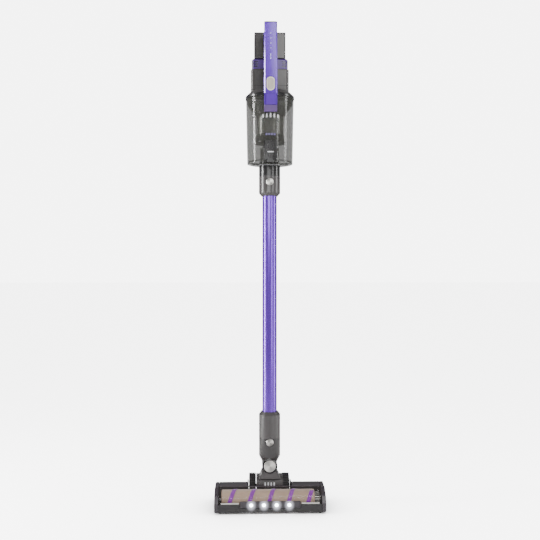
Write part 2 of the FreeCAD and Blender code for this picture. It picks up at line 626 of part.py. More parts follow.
def pivot_stubs():
    """Two steel stub pins, one in each cheek of the fork, so that the air passes between them."""
    stubs = []
    for side in (-1, 1):
        ends = sorted((side * (AIRWAY_RADIUS + 0.8), side * (-CHEEK_FRONT - 0.5)))
        stubs.append(endwise(STUB_RADIUS, ends[0], ends[1], 0, PIVOT_Z))
    return compound(stubs)


def pivot_disc():
    front = CHEEK_FRONT - DISC_THICK
    cap = endwise(DISC_RADIUS, front, CHEEK_FRONT, 0, PIVOT_Z)
    return cap.makeChamfer(0.8, [e for e in cap.Edges if e.Closed and e.BoundBox.YMax < front + 0.01])


# ---- elbow --------------------------------------------------------------------------------------
def pocket_floor(outer):
    """Depth, from the wand's axis, of the pocket that a collar's button moves in."""
    return outer - 2 * BUTTON_TRAVEL - 0.8


def elbow_shell():
    """Lower collar: socket for the wand above, tongue of the side-to-side pivot below."""
    groove = 0.6
    profile = [(0, ELBOW_TAPER_LOW), (PIVOT_RADIUS - 0.5, ELBOW_TAPER_LOW), (ELBOW_RADIUS, ELBOW_TAPER_TOP),
               (ELBOW_RADIUS, ELBOW_SEAM - groove), (ELBOW_RADIUS - groove, ELBOW_SEAM),
               (ELBOW_RADIUS, ELBOW_SEAM + groove), (ELBOW_RADIUS, ELBOW_TOP - CHAMFER),
               (WAND_RADIUS + 2.5, ELBOW_TOP), (0, ELBOW_TOP)]
    body = turned(profile)
    swing = endwise(PIVOT_RADIUS + GAP, -60, 60, 0, PIVOT_Z)
    body = body.cut(swing)
    tongue = endwise(PIVOT_RADIUS - GAP, -TONGUE_HALF, TONGUE_HALF, 0, PIVOT_Z)
    web = block(-PIVOT_RADIUS + 3, PIVOT_RADIUS - 3, -TONGUE_HALF, TONGUE_HALF, PIVOT_Z, ELBOW_TAPER_TOP)
    solid = join(body, tongue, web)
    solid = solid.cut(upright(WAND_RADIUS + 0.3, WAND_LOW - GAP, ELBOW_TOP + 1))
    solid = solid.cut(upright(AIRWAY_RADIUS + 2, ELBOW_TAPER_TOP, WAND_LOW))
    solid = solid.cut(upright(AIRWAY_RADIUS, PIVOT_Z - PIVOT_RADIUS - 1, ELBOW_TAPER_TOP + 1))
    solid = solid.cut(endwise(STUB_RADIUS + FIT, -TONGUE_HALF - 1, TONGUE_HALF + 1, 0, PIVOT_Z))
    pocket = endwise(BUTTON_RADIUS + 0.5, -60, -pocket_floor(ELBOW_RADIUS), 0, LOWER_BUTTON_Z)
    return solid.cut(pocket)


def release_push(z, outer):
    """Round button that stands a little proud of the collar and presses straight in."""
    deep = outer - BUTTON_TRAVEL - 0.6
    pill = endwise(BUTTON_RADIUS, -outer - 1.2, -deep, 0, z)
    return pill.makeFillet(1.0, [e for e in pill.Edges if e.Closed and e.BoundBox.YMax < -outer - 1.19])


# ---- wand ---------------------------------------------------------------------------------------
def wand_tube():
    return tube(WAND_RADIUS, WAND_RADIUS - WAND_WALL, WAND_LOW, WAND_LOW + WAND_LENGTH)


def wand_collar():
    """Upper collar: holds the tube below and takes the dust cup's nozzle above."""
    profile = [(0, COLLAR_LOW), (WAND_RADIUS + 2.0, COLLAR_LOW), (COLLAR_RADIUS, COLLAR_LOW + CHAMFER),
               (COLLAR_RADIUS, COLLAR_TOP), (0, COLLAR_TOP)]
    body = turned(profile)
    body = body.cut(upright(WAND_RADIUS, COLLAR_LOW - 1, COLLAR_LOW + WAND_SEAT))
    body = body.cut(upright(WAND_RADIUS - WAND_WALL, COLLAR_LOW, COLLAR_TOP + 1))
    body = body.cut(upright(nozzle_radius() + 0.3, COLLAR_TOP - SPIGOT_DEPTH - 1, COLLAR_TOP + 1))
    pocket = endwise(BUTTON_RADIUS + 0.5, -60, -pocket_floor(COLLAR_RADIUS), 0, UPPER_BUTTON_Z)
    return body.cut(pocket)


def nozzle_radius():
    return PORT_BORE + 1.2


# ---- dust cup -----------------------------------------------------------------------------------
def cup_radius(z):
    share = (z - CUP_LOW) / (CUP_TOP - CUP_LOW)
    return CUP_RADIUS_LOW + share * (CUP_RADIUS_TOP - CUP_RADIUS_LOW)


def cup_wall():
    """Clear tapered bin, closed at the bottom only behind the hinge line."""
    outer = turned([(0, CUP_LOW), (CUP_RADIUS_LOW, CUP_LOW), (CUP_RADIUS_TOP, CUP_TOP), (0, CUP_TOP)], CUP_Y)
    inner = turned([(0, CUP_LOW - 1), (CUP_RADIUS_LOW - CUP_WALL, CUP_LOW - 1),
                    (CUP_RADIUS_TOP - CUP_WALL, CUP_TOP + 1), (0, CUP_TOP + 1)], CUP_Y)
    wall = outer.cut(inner)
    floor = upright(CUP_RADIUS_LOW - CUP_WALL / 2, CUP_LOW, CUP_LOW + CUP_FLOOR, 0, CUP_Y)
    floor = floor.common(block(-100, 100, HINGE_Y + 3, 100, 0, 2000))
    floor = floor.cut(upright(DUCT_RADIUS + GAP, 0, 2000, 0, DUCT_Y))
    reach = 2 * CUP_RADIUS_TOP
    door_bite = block(-reach, reach, CUP_Y - reach, HINGE_Y + 3 + GAP, CUP_LOW - 1, CUP_LOW + CUP_FLOOR + GAP)
    wall = wall.cut(door_bite)
    lugs = []
    for x in LUG_PLACES:
        lugs.append(crosswise(KNUCKLE_RADIUS, x, x + LUG_WIDTH, HINGE_Y, CUP_LOW))
        lugs.append(block(x, x + LUG_WIDTH, HINGE_Y, HINGE_Y + 6, CUP_LOW, CUP_LOW + CUP_FLOOR))
    solid = join(wall, floor, *lugs)
    solid = solid.cut(crosswise(HINGE_RADIUS, -60, 60, HINGE_Y, CUP_LOW))
    ears = []
    for side in (-1, 1):
        ends = sorted((side * (LATCH_HALF + GAP), side * (LATCH_HALF + 3)))
        ears.append(block(ends[0], ends[1], CUP_Y - CUP_RADIUS_LOW - 4, CUP_Y - CUP_RADIUS_LOW + 4.4,
                          latch_pin_z() - 4, latch_pin_z() + 4))
    solid = join(solid, *[ear.cut(inner) for ear in ears])
    return solid.cut(crosswise(HINGE_RADIUS, -40, 40, latch_pin_y(), latch_pin_z()))


def cup_rim():
    """Ring that joins the bin to the power unit's shoulder."""
    return tube(RIM_RADIUS, CUP_RADIUS_TOP - CUP_WALL - 2, CUP_TOP + GAP / 4, RIM_TOP, 0, CUP_Y)


def latch_pin_y():
    return CUP_Y - cup_radius(LATCH_LOW) - 2.4


def latch_pin_z():
    return (LATCH_LOW + LATCH_TOP) / 2 + 2


def lip_front():
    """Front edge of the door's lip, just behind the latch's hook."""
    return CUP_Y - CUP_RADIUS_LOW - 1.2


def cup_door():
    """Front half of the bin's floor, swinging down on its hinge pin."""
    plate = upright(CUP_RADIUS_LOW, CUP_LOW, CUP_LOW + CUP_FLOOR, 0, CUP_Y)
    plate = plate.common(block(-100, 100, -200, HINGE_Y + 2.6, 0, 2000))
    for x in LUG_PLACES:
        plate = plate.cut(block(x - GAP, x + LUG_WIDTH + GAP, HINGE_Y - 4, HINGE_Y + 4, 0, 2000))
    bite = crosswise(KNUCKLE_RADIUS + GAP, -60, 60, HINGE_Y, CUP_LOW)
    knuckle = crosswise(KNUCKLE_RADIUS, -32, -24, HINGE_Y, CUP_LOW)
    knuckle = knuckle.fuse(crosswise(KNUCKLE_RADIUS, 24, 32, HINGE_Y, CUP_LOW))
    plate = plate.cut(bite.common(block(-23.5, 23.5, -100, 100, 0, 2000)))
    swept = block(-100, 100, HINGE_Y, 100, CUP_LOW - 5, 2000)
    plate = plate.cut(swept.cut(block(-32, -24, -100, 100, 0, 2000)).cut(block(24, 32, -100, 100, 0, 2000)))
    lip = block(-9, 9, lip_front(), CUP_Y - CUP_RADIUS_LOW + 3, CUP_LOW, CUP_LOW + 2.4)
    solid = join(plate, knuckle, lip)
    return solid.cut(crosswise(HINGE_RADIUS + FIT, -60, 60, HINGE_Y, CUP_LOW))


def door_seal():
    """Soft ring lying on the door, inside the bin."""
    z0 = CUP_LOW + CUP_FLOOR
    ring = tube(CUP_RADIUS_LOW - CUP_WALL - 1.6, CUP_RADIUS_LOW - CUP_WALL - 5, z0, z0 + 1.6, 0, CUP_Y)
    return ring.common(block(-100, 100, -200, HINGE_Y - 6, 0, 2000))


def cup_pins():
    """The door's hinge pin and the latch's pin, both fixed in the bin."""
    reach = LATCH_HALF + 2.8
    hinge = crosswise(HINGE_RADIUS, -40.5, 40.5, HINGE_Y, CUP_LOW)
    return compound([hinge, crosswise(HINGE_RADIUS, -reach, reach, latch_pin_y(), latch_pin_z())])


def door_latch():
    """Rocking latch: pressing its top swings the hook at its foot out from under the door's lip."""
    radius = cup_radius(LATCH_LOW) + LATCH_STANDOFF
    plate = tube(radius + LATCH_THICK, radius, LATCH_LOW, LATCH_TOP, 0, CUP_Y)
    plate = plate.common(block(-LATCH_HALF, LATCH_HALF, -200, CUP_Y, 0, 2000))
    hub = crosswise(2.4, -LATCH_HALF, LATCH_HALF, latch_pin_y(), latch_pin_z())
    hook_y = lip_front() - GAP
    front = CUP_Y - radius - LATCH_THICK + 2
    hook = block(-HOOK_HALF, HOOK_HALF, front, hook_y, CUP_LOW - HOOK_DEEP, CUP_LOW - GAP)
    stem = block(-HOOK_HALF, HOOK_HALF, front, CUP_Y - radius + 0.5, CUP_LOW - HOOK_DEEP, LATCH_LOW + 2)
    wall = upright(cup_radius(latch_pin_z()) + 0.35, latch_pin_z() - 6, latch_pin_z() + 6, 0, CUP_Y)
    solid = join(plate, hub.cut(wall), hook, stem)
    return solid.cut(crosswise(HINGE_RADIUS + FIT, -60, 60, latch_pin_y(), latch_pin_z()))


def port_nozzle():
    """Black connector under the bin, with the spigot that plugs into the wand's collar."""
    body = upright(PORT_RADIUS, PORT_LOW, CUP_LOW - GAP)
    notch = block(-100, 100, -200, HINGE_Y + 3.4, 0, 2000)
    spigot = upright(nozzle_radius(), COLLAR_TOP - SPIGOT_DEPTH, PORT_LOW + 1)
    solid = join(body.cut(notch), spigot)
    return solid.cut(upright(PORT_BORE - 1.5, 0, 2000))


def inlet_duct():
    """Carries the air up from the nozzle, behind the cyclone, to the inlet high in the bin."""
    low = CUP_LOW - GAP
    drum = tube(DUCT_RADIUS, DUCT_RADIUS - DUCT_WALL, low, SKIRT_LOW - 6, 0, DUCT_Y)
    roof_low = SKIRT_LOW - 8
    roof = upright(DUCT_RADIUS, roof_low, roof_low + 2, 0, DUCT_Y)
    back = CUP_Y + SKIRT_RADIUS + 2
    riser = block(-14, 14, back, back + 9.5, roof_low, SHROUD_TOP - 5)
    hollow = block(-12.4, 12.4, back + 1.6, back + 7.9, roof_low - 1, SHROUD_TOP - 7)
    mouth = block(0, 20, back + 1.6, back + 7.9, SHROUD_TOP - 28, SHROUD_TOP - 8)
    keep = upright(DUCT_RADIUS, 0, roof_low + 2, 0, DUCT_Y)
    above = block(-100, 100, -200, 200, roof_low + 2, 2000)
    riser = riser.cut(block(-100, 100, -200, 200, 0, roof_low + 2).cut(keep))
    solid = join(drum, roof, riser.common(keep.fuse(above)))
    return solid.cut(hollow).cut(mouth)


def cyclone_cone():
    """Funnel between the bin's wall and the shroud."""
    top = cup_radius(CONE_TOP) - CUP_WALL - 0.5
    outer = turned([(0, SHROUD_TOP), (SHROUD_RADIUS + 1.5, SHROUD_TOP), (top, CONE_TOP), (top, CONE_TOP + 8),
                    (0, CONE_TOP + 8)], CUP_Y)
    inner = turned([(0, SHROUD_TOP - 1), (SHROUD_RADIUS - 2, SHROUD_TOP - 1),
                    (SHROUD_RADIUS - 1, SHROUD_TOP + 1), (top - FUNNEL_WALL - 0.6, CONE_TOP),
                    (top - FUNNEL_WALL, CONE_TOP + 9), (0, CONE_TOP + 9)], CUP_Y)
    return outer.cut(inner)


def mesh_shroud():
    """Perforated metal sleeve that the air leaves the bin through."""
    return tube(SHROUD_RADIUS, SHROUD_RADIUS - 1.2, SKIRT_TOP, SHROUD_TOP - GAP / 4, 0, CUP_Y)


def cyclone_skirt():
    """Flared skirt under the shroud, with the short cone that drops fine dust."""
    flare = turned([(0, SKIRT_LOW), (SKIRT_RADIUS, SKIRT_LOW), (SKIRT_RADIUS - 0.5, SKIRT_LOW + 3),
                    (SHROUD_RADIUS, SKIRT_TOP - GAP / 4), (0, SKIRT_TOP - GAP / 4)], CUP_Y)
    hollow = turned([(0, SKIRT_LOW - 1), (12, SKIRT_LOW - 1), (SHROUD_RADIUS - 4, SKIRT_TOP + 1),
                     (0, SKIRT_TOP + 1)], CUP_Y)
    return flare.cut(hollow)


def pre_filter():
    """Washable pleated filter standing in the funnel."""
    return tube(FILTER_OUTER, FILTER_INNER, SHROUD_TOP + 6, CONE_TOP + 10, 0, CUP_Y)


# ---- power unit ---------------------------------------------------------------------------------
def shoulder():
    """Tapered ring under the body that drops over the bin's rim."""
    low = RIM_TOP + GAP
    top = BODY_LOW - GAP / 4
    ring = turned([(0, low), (RIM_RADIUS, low), (BODY_HALF + 1, top), (0, top)], CUP_Y)
    hole = upright(THROAT_RADIUS, low - 1, BODY_LOW + 1)
    back = block(-BODY_HALF + 3, BODY_HALF - 3, 0, BODY_REAR - 4, BODY_LOW - 5, top)
    return join(ring, back).cut(hole)


def body_shell():
    """Grey motor housing: an open-topped box with rounded corners."""
    outer = rounded_block(-BODY_HALF, BODY_HALF, BODY_FRONT, BODY_REAR, BODY_LOW, BODY_TOP, BODY_CORNER)
    w = BODY_WALL
    inner = rounded_block(-BODY_HALF + w, BODY_HALF - w, BODY_FRONT + w, BODY_REAR - w, BODY_FLOOR,
                          BODY_TOP + 5, BODY_CORNER - w)
    throat = upright(THROAT_RADIUS, BODY_LOW - 1, BODY_FLOOR + 1)
    return outer.cut(inner).cut(throat)


def vent_ring():
    """Coloured band over the housing, with exhaust slots at both sides."""
    corner = BODY_CORNER - 1
    low = BODY_TOP + GAP / 4
    outer = rounded_block(-VENT_HALF, VENT_HALF, BODY_FRONT + 1, BODY_REAR - 1, low, VENT_TOP, corner)
    top_edges = [e for e in outer.Edges if e.BoundBox.ZMin > VENT_TOP - 0.01]
    outer = outer.makeChamfer(3.0, top_edges)
    w = BODY_WALL
    inner = rounded_block(-VENT_HALF + w, VENT_HALF - w, BODY_FRONT + 1 + w, BODY_REAR - 1 - w, low - 1,
                          VENT_TOP - w, corner - w)
    solid = outer.cut(inner)
    pitch = 3.6
    for side in (-1, 1):
        ends = sorted((side * (VENT_HALF - 5), side * (VENT_HALF + 2)))
        for i in range(VENT_SLOTS):
            z = (low + VENT_TOP) / 2 - 3 + (i - (VENT_SLOTS - 1) / 2) * pitch
            solid = solid.cut(block(ends[0], ends[1], BODY_FRONT + 14, BODY_REAR - 14, z - 0.9, z + 0.9))
    return solid


def exhaust_filter():
    """Fine filter band behind the exhaust slots, round the motor."""
    inner = SUCTION_MOTOR_RADIUS + 2
    return tube(inner + 7, inner, BODY_TOP + 2, VENT_TOP - 6, 0, SUCTION_MOTOR_Y)


def suction_motor():
    """Brushless motor can standing on its rubber ring over the impeller."""
    low = BODY_FLOOR + 16
    can = upright(SUCTION_MOTOR_RADIUS, low, VENT_TOP - 12, 0, SUCTION_MOTOR_Y)
    flange = tube(SUCTION_MOTOR_RADIUS + 3, SUCTION_MOTOR_RADIUS - 1, BODY_FLOOR, low + 4, 0, SUCTION_MOTOR_Y)
    shaft_hole = upright(MOTOR_SHAFT + FIT, low - 1, low + 12, 0, SUCTION_MOTOR_Y)
    return join(can, flange).cut(shaft_hole)


def impeller():
    """Suction wheel with its shaft, turning inside the motor's skirt."""
    z0 = BODY_FLOOR + 2
    hub = turned([(0, z0), (IMPELLER_RADIUS, z0), (IMPELLER_RADIUS, z0 + 2), (8, z0 + 10), (0, z0 + 10)],
                 SUCTION_MOTOR_Y)
    shaft = upright(MOTOR_SHAFT, z0 + 9, BODY_FLOOR + 16 + 11, 0, SUCTION_MOTOR_Y)
    blades = []
    for i in range(BLADE_COUNT):
        blade = block(5, IMPELLER_RADIUS - 1, -0.6, 0.6, z0 + 1, z0 + 11)
        blade.translate(V(0, SUCTION_MOTOR_Y, 0))
        blade.rotate(V(0, SUCTION_MOTOR_Y, 0), V(0, 0, 1), i * 360 / BLADE_COUNT)
        blades.append(blade)
    return join(hub, shaft, *blades)


def battery_dock():
    """Front wall and floor that the battery pack slides down onto, with side rails."""
    front = rounded_block(-PACK_HALF, PACK_HALF, BODY_FRONT, PACK_SPLIT - GAP, DOCK_LOW, PACK_TOP, 3.0)
    half = PACK_HALF - 3
    hollow = block(-half, half, BODY_FRONT + 3, PACK_SPLIT - 3.4, DOCK_LOW + 3, PACK_TOP - 3)
    rails = []
    for side in (-1, 1):
        ends = sorted((side * RAIL_INNER, side * RAIL_OUTER))
        rails.append(block(ends[0], ends[1], PACK_SPLIT - 1, PACK_SPLIT + 4, DOCK_LOW + 3, PACK_TOP - 8))
    return join(front.cut(hollow), *rails)


def control_board():
    return block(-28, 28, BODY_FRONT + 6, BODY_FRONT + 7.6, DOCK_LOW + 5, PACK_TOP - 6)


# ---- battery ------------------------------------------------------------------------------------
def battery_case():
    w = PACK_WALL
    low = DOCK_LOW + GAP
    outer = rounded_block(-PACK_HALF, PACK_HALF, PACK_SPLIT, BODY_REAR, low, PACK_TOP, 5.0)
    inner = block(-PACK_HALF + w, PACK_HALF - w, PACK_SPLIT + CELL_START, BODY_REAR - w, low + w,
                  PACK_TOP - w)
    solid = outer.cut(inner)
    for side in (-1, 1):
        ends = sorted((side * (RAIL_INNER - GAP), side * (RAIL_OUTER + GAP)))
        solid = solid.cut(block(ends[0], ends[1], PACK_SPLIT - 1, PACK_SPLIT + 4 + GAP, 0,
                                PACK_TOP - 8 + GAP))
    solid = solid.cut(endwise(SOCKET_OUTER, BODY_REAR - w - 1, BODY_REAR + 1, SOCKET_X, socket_z()))
    return solid.cut(block(-PUSH_HALF - GAP, PUSH_HALF + GAP, BODY_REAR - w - 1, BODY_REAR + 1,
                           PACK_TOP - PUSH_LOW - GAP, PACK_TOP - PUSH_TOP + GAP))


def socket_z():
    """Level with the short top row of cells, where the pack has room behind the socket."""
    return PACK_TOP - 10.0


def battery_cells():
    """Eight round cells lying across the pack, in rows of three, three and two."""
    cells = []
    y0 = PACK_SPLIT + CELL_START + CELL_RADIUS + CELL_ROOM
    z0 = DOCK_LOW + GAP + PACK_WALL + CELL_RADIUS + CELL_ROOM
    for row, count in enumerate(CELL_ROWS):
        for i in range(count):
            y = y0 + i * CELL_PITCH
            cells.append(crosswise(CELL_RADIUS, -CELL_LENGTH / 2, CELL_LENGTH / 2, y, z0 + row * CELL_PITCH))
    return compound(cells)


def battery_latch():
    """Button at the back of the pack that frees it from its rails when pressed."""
    return block(-PUSH_HALF, PUSH_HALF, BODY_REAR - PACK_WALL - 1.5, BODY_REAR + 1, PACK_TOP - PUSH_LOW,
                 PACK_TOP - PUSH_TOP)


def charge_socket():
    """Barrel socket in the back of the pack."""
    back = BODY_REAR - 0.2
    barrel = endwise(SOCKET_OUTER - FIT, back - SOCKET_DEPTH - 1.5, back, SOCKET_X, socket_z())
    return barrel.cut(endwise(SOCKET_BORE, back - SOCKET_DEPTH, back + 1, SOCKET_X, socket_z()))


# ---- handle -------------------------------------------------------------------------------------
def handle_core():
    """Dark inner half of the loop: grip back, upper arm and lower arm, one moulding."""
    y0 = HANDLE_FRONT + GRIP_SKIN + GAP / 4
    y1 = HANDLE_FRONT + GRIP_DEPTH
    half = HANDLE_HALF - 0.5
    end = BODY_FRONT - GAP / 4
    low = RIM_TOP + 3
    grip = block(-half, half, y0, y1, low + 2, HANDLE_TOP - 1)
    grip = grip.makeFillet(8.0, [e for e in along(grip, "z") if e.BoundBox.YMin > y1 - 0.01])
    upper = block(-half, half, y1 - 9, end, PACK_TOP - ARM_THICK, PACK_TOP - 0.5)
    upper = upper.makeFillet(3.0, along(upper, "y"))
    lower = block(-half, half, y1 - 9, end, BODY_LOW + 0.5, FOOT_TOP)
    solid = join(grip, upper, lower)
    solid = solid.cut(turned([(0, 0), (RIM_RADIUS + 1, 0), (RIM_RADIUS + 1, RIM_TOP + GAP),
                              (BODY_HALF + 2, BODY_LOW), (0, BODY_LOW)], CUP_Y))
    pocket = slot_shape(POWER_BUTTON_HALF + 0.5, POWER_BUTTON_LENGTH + 1, y0 - 1, y0 + 6, POWER_BUTTON_Z)
    return solid.cut(pocket)


def handle_front():
    """Coloured front shell of the handle, reaching down over the bin."""
    y0 = HANDLE_FRONT
    bevel = 2.5
    deep = y0 + GRIP_SKIN
    shell = block(-HANDLE_HALF, HANDLE_HALF, y0, deep, RELEASE_TOP + GAP, HANDLE_TOP)
    shell = shell.makeChamfer(bevel, [e for e in along(shell, "z") if e.BoundBox.YMax < y0 + 0.01])
    tongue = block(-HANDLE_HALF, HANDLE_HALF, y0, RIM_FRONT, TIP_TOP, RELEASE_TOP + GAP)
    tongue = tongue.cut(block(-HANDLE_HALF + 2, HANDLE_HALF - 2, y0 - 1, y0 + 5.5, TIP_TOP - 1, RELEASE_TOP))
    solid = join(shell.cut(upright(RIM_RADIUS + GAP, 0, BODY_LOW, 0, CUP_Y)), tongue)
    return solid.cut(slot_shape(POWER_BUTTON_HALF + 0.4, POWER_BUTTON_LENGTH + 0.8, y0 - 1, deep + 1,
                                POWER_BUTTON_Z))


def handle_tip():
    """Duller end piece under the release button."""
    tip = block(-HANDLE_HALF, HANDLE_HALF, HANDLE_FRONT + 0.4, RIM_FRONT, HANDLE_LOW, TIP_TOP - GAP / 4)
    return tip.makeFillet(3.0, [e for e in along(tip, "x") if e.BoundBox.ZMax < HANDLE_LOW + 0.01
                                and e.BoundBox.YMax < HANDLE_FRONT + 1])


def power_button():
    y0 = HANDLE_FRONT
    return slot_shape(POWER_BUTTON_HALF, POWER_BUTTON_LENGTH, y0, y0 + GRIP_SKIN - 3, POWER_BUTTON_Z)


def release_button():
    """Push that frees the bin from the power unit."""
    half = HANDLE_HALF - 2 - GAP
    return block(-half, half, HANDLE_FRONT, HANDLE_FRONT + 5.5 - RELEASE_TRAVEL - 0.3, TIP_TOP + GAP,
                 RELEASE_TOP - GAP)


def save(name, shape):
    moved = shape.copy()
    moved.translate(V(0, FRAME_SHIFT_Y, 0))
    moved.exportStep("parts/" + name + ".step")


def make_pieces():
    return {
        "head_base": head_base(), "head_top_cover": head_top_cover(), "visor": visor(),
        "visor_trim": visor_trim(), "bumper": bumper(), "light_bar": light_bar(),
        "light_lenses": light_lenses(), "end_cap_left": end_cap(-1), "end_cap_right": end_cap(1),
        "glides": glides(), "brush_motor": brush_motor(), "motor_pulley": motor_pulley(),
        "drive_belt": drive_belt(), "roller_core": roller_core(), "roller_sleeve": roller_sleeve(),
        "roller_stripes": roller_stripes(), "roller_pulley": roller_pulley(), "roller_pins": roller_pins(),
        "wheel_axle": wheel_axle(),
        "wheel_hub_left": wheel_hub(-1), "wheel_hub_right": wheel_hub(1),
        "wheel_tyre_left": wheel_tyre(-1), "wheel_tyre_right": wheel_tyre(1),
        "neck_yoke": neck_yoke(), "pivot_stubs": pivot_stubs(), "pivot_disc": pivot_disc(),
        "elbow_shell": elbow_shell(), "lower_release_button": release_push(LOWER_BUTTON_Z, ELBOW_RADIUS),
        "wand_tube": wand_tube(), "wand_collar": wand_collar(),
        "upper_release_button": release_push(UPPER_BUTTON_Z, COLLAR_RADIUS),
        "cup_wall": cup_wall(), "cup_rim": cup_rim(), "cup_door": cup_door(), "door_seal": door_seal(),
        "cup_pins": cup_pins(), "door_latch": door_latch(),
        "port_nozzle": port_nozzle(), "inlet_duct": inlet_duct(), "cyclone_cone": cyclone_cone(),
        "mesh_shroud": mesh_shroud(), "cyclone_skirt": cyclone_skirt(), "pre_filter": pre_filter(),
        "shoulder": shoulder(), "body_shell": body_shell(), "vent_ring": vent_ring(),
        "exhaust_filter": exhaust_filter(), "suction_motor": suction_motor(), "impeller": impeller(),
        "battery_dock": battery_dock(), "control_board": control_board(),
        "handle_core": handle_core(), "handle_front": handle_front(), "handle_tip": handle_tip(),
        "power_button": power_button(), "cup_release_button": release_button(),
        "battery_case": battery_case(), "battery_cells": battery_cells(), "battery_latch": battery_latch(),
        "charge_socket": charge_socket(),
    }


def main():
    os.makedirs("parts", exist_ok=True)
    for name, shape in make_pieces().items():
        save(name, shape)


if __name__ == "__main__":
    main()
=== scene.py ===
"""Cordless stick vacuum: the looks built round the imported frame."""
import json
import math

import bmesh
import bpy
from bpy.props import FloatProperty, FloatVectorProperty, PointerProperty
from mathutils import Matrix, Vector

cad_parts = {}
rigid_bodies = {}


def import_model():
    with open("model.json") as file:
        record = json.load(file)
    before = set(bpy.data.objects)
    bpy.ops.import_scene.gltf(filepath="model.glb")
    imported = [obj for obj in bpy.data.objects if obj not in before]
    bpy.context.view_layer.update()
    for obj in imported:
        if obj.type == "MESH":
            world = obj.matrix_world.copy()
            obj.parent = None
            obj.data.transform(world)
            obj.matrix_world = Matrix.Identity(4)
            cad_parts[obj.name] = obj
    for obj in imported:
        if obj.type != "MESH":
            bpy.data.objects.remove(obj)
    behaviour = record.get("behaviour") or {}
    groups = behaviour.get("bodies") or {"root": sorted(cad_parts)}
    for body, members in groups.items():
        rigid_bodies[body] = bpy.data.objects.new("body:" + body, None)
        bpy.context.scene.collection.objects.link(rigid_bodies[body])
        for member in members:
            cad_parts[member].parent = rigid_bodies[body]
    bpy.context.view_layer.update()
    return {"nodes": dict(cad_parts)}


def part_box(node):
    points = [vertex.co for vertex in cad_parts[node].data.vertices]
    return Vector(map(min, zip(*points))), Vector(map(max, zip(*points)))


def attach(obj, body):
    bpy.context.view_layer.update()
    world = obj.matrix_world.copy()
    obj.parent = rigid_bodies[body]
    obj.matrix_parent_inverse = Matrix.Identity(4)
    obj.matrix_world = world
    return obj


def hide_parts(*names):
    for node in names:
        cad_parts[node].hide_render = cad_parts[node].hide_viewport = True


bl_info = {
    "name": "Cordless stick vacuum",
    "version": (1, 0, 0),
    "blender": (4, 5, 0),
    "location": "3D View > Sidebar > Vacuum",
    "description": "Builds the visible pieces of an upright cordless stick vacuum round its frame",
    "category": "Object",
}

for leftover in list(bpy.data.objects):
    bpy.data.objects.remove(leftover)
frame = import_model()
NODES = frame["nodes"]
WAND_LOW, WAND_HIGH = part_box("wand_tube")
WAND_Y = (WAND_LOW.y + WAND_HIGH.y) / 2
STRIPES_LOW, STRIPES_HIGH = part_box("roller_stripes")
SLEEVE_LOW, SLEEVE_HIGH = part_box("roller_sleeve")

# metres, unless a name says otherwise
NECK_BLOCK = 0.014         # from the wand's axis to the front of the neck block
ELBOW_SEAM_DROP = 0.062    # from the top of the elbow to its joint line
COLLAR_RADIUS = 0.025      # of the round wall that the collar buttons sit in
CHEEK_GAP = 0.0006         # between a wheel and the wall next to it
BAY_WALL = 0.0028          # the lining of the bay that the wheels stand in
BAY_FRONT = 0.0005         # y, behind the roller's chamber
BAY_FLOOR = 0.030
WING_WALL = 0.0026         # the neck block's wings
WING_LOW, WING_HIGH = 0.040, 0.060
LAMPS = 4
LAMP_POOL = 0.0145         # radius of the painted pool of light that glows round each lamp
BAND_PHASE = 0.78          # of a turn, where the bristle band starts
VENT_GAP_HALF = 0.0275     # the louvres leave the middle of the band plain
VENT_WRAP = 0.018          # and run this far back round its corners
PIERCED_RADIUS = 0.031     # of the sleeve that the rows of holes run round
PROUD = 0.0003             # how far a plain mark stands out
MERGE = 1e-6
SMOOTH_ANGLE = math.radians(35)
QUARTER = math.radians(90)

AMBIENT = 0.28             # what the white room adds all round
BACKDROP_GLOW = 6.0        # the bare backdrop
BEHIND_GLOW = 0.8          # the backdrop seen through clear plastic, dimmed as painted shade
FLOOR_GLOW = 5.4
FLOOR_HALF = 30.0          # half the width of the ground
CONTACT_SHADE = 0.1        # how far the painted shadow under the floor head spreads
LENS_MM, SENSOR_MM = 47.6, 36.0
CAMERA_ASIDE = -0.045
CAMERA_TRIM = 0.0006       # radians past the wand
BEAM_POWER = 0.03
SOFT_BOXES = (             # name, place, what it faces, width, height, watts
    ("high_box", (0.61, -1.66, 1.78), (0.3, 0.0, 1.1), 1.16, 0.7, 17.0),
    ("left_strip", (-1.4, -0.15, 0.66), (0, 0, 0.6), 0.22, 1.6, 44.0),
    ("right_box", (1.4, -0.2, 0.66), (0, 0, 0.6), 0.3, 1.6, 15.0),
    ("front_strip", (0.95, -1.35, 0.62), (0, 0, 0.5), 0.25, 1.1, 9.0),
    ("head_fill", (-0.25, -1.4, 0.85), (0, 0, 0.03), 0.9, 0.3, 6.5),
)


def linear(red, green, blue):
    """Display colour, 0 to 255 a channel, as the linear colour that shaders take."""
    def one(value):
        share = value / 255
        return share / 12.92 if share <= 0.04045 else ((share + 0.055) / 1.055) ** 2.4
    return (one(red), one(green), one(blue), 1.0)


HEAD_GREY = linear(54, 49, 54)
TYRE_BLACK = linear(34, 32, 33)


# ---- sizes and colours a user would change --------------------------------------------------------
def length(name, text, value):
    return FloatProperty(name=name, description=text, default=value, min=0.0, subtype="DISTANCE",
                         unit="LENGTH")


def colour(name, text, *value):
    return FloatVectorProperty(name=name, description=text, default=linear(*value), size=4, min=0, max=1,
                               subtype="COLOR")


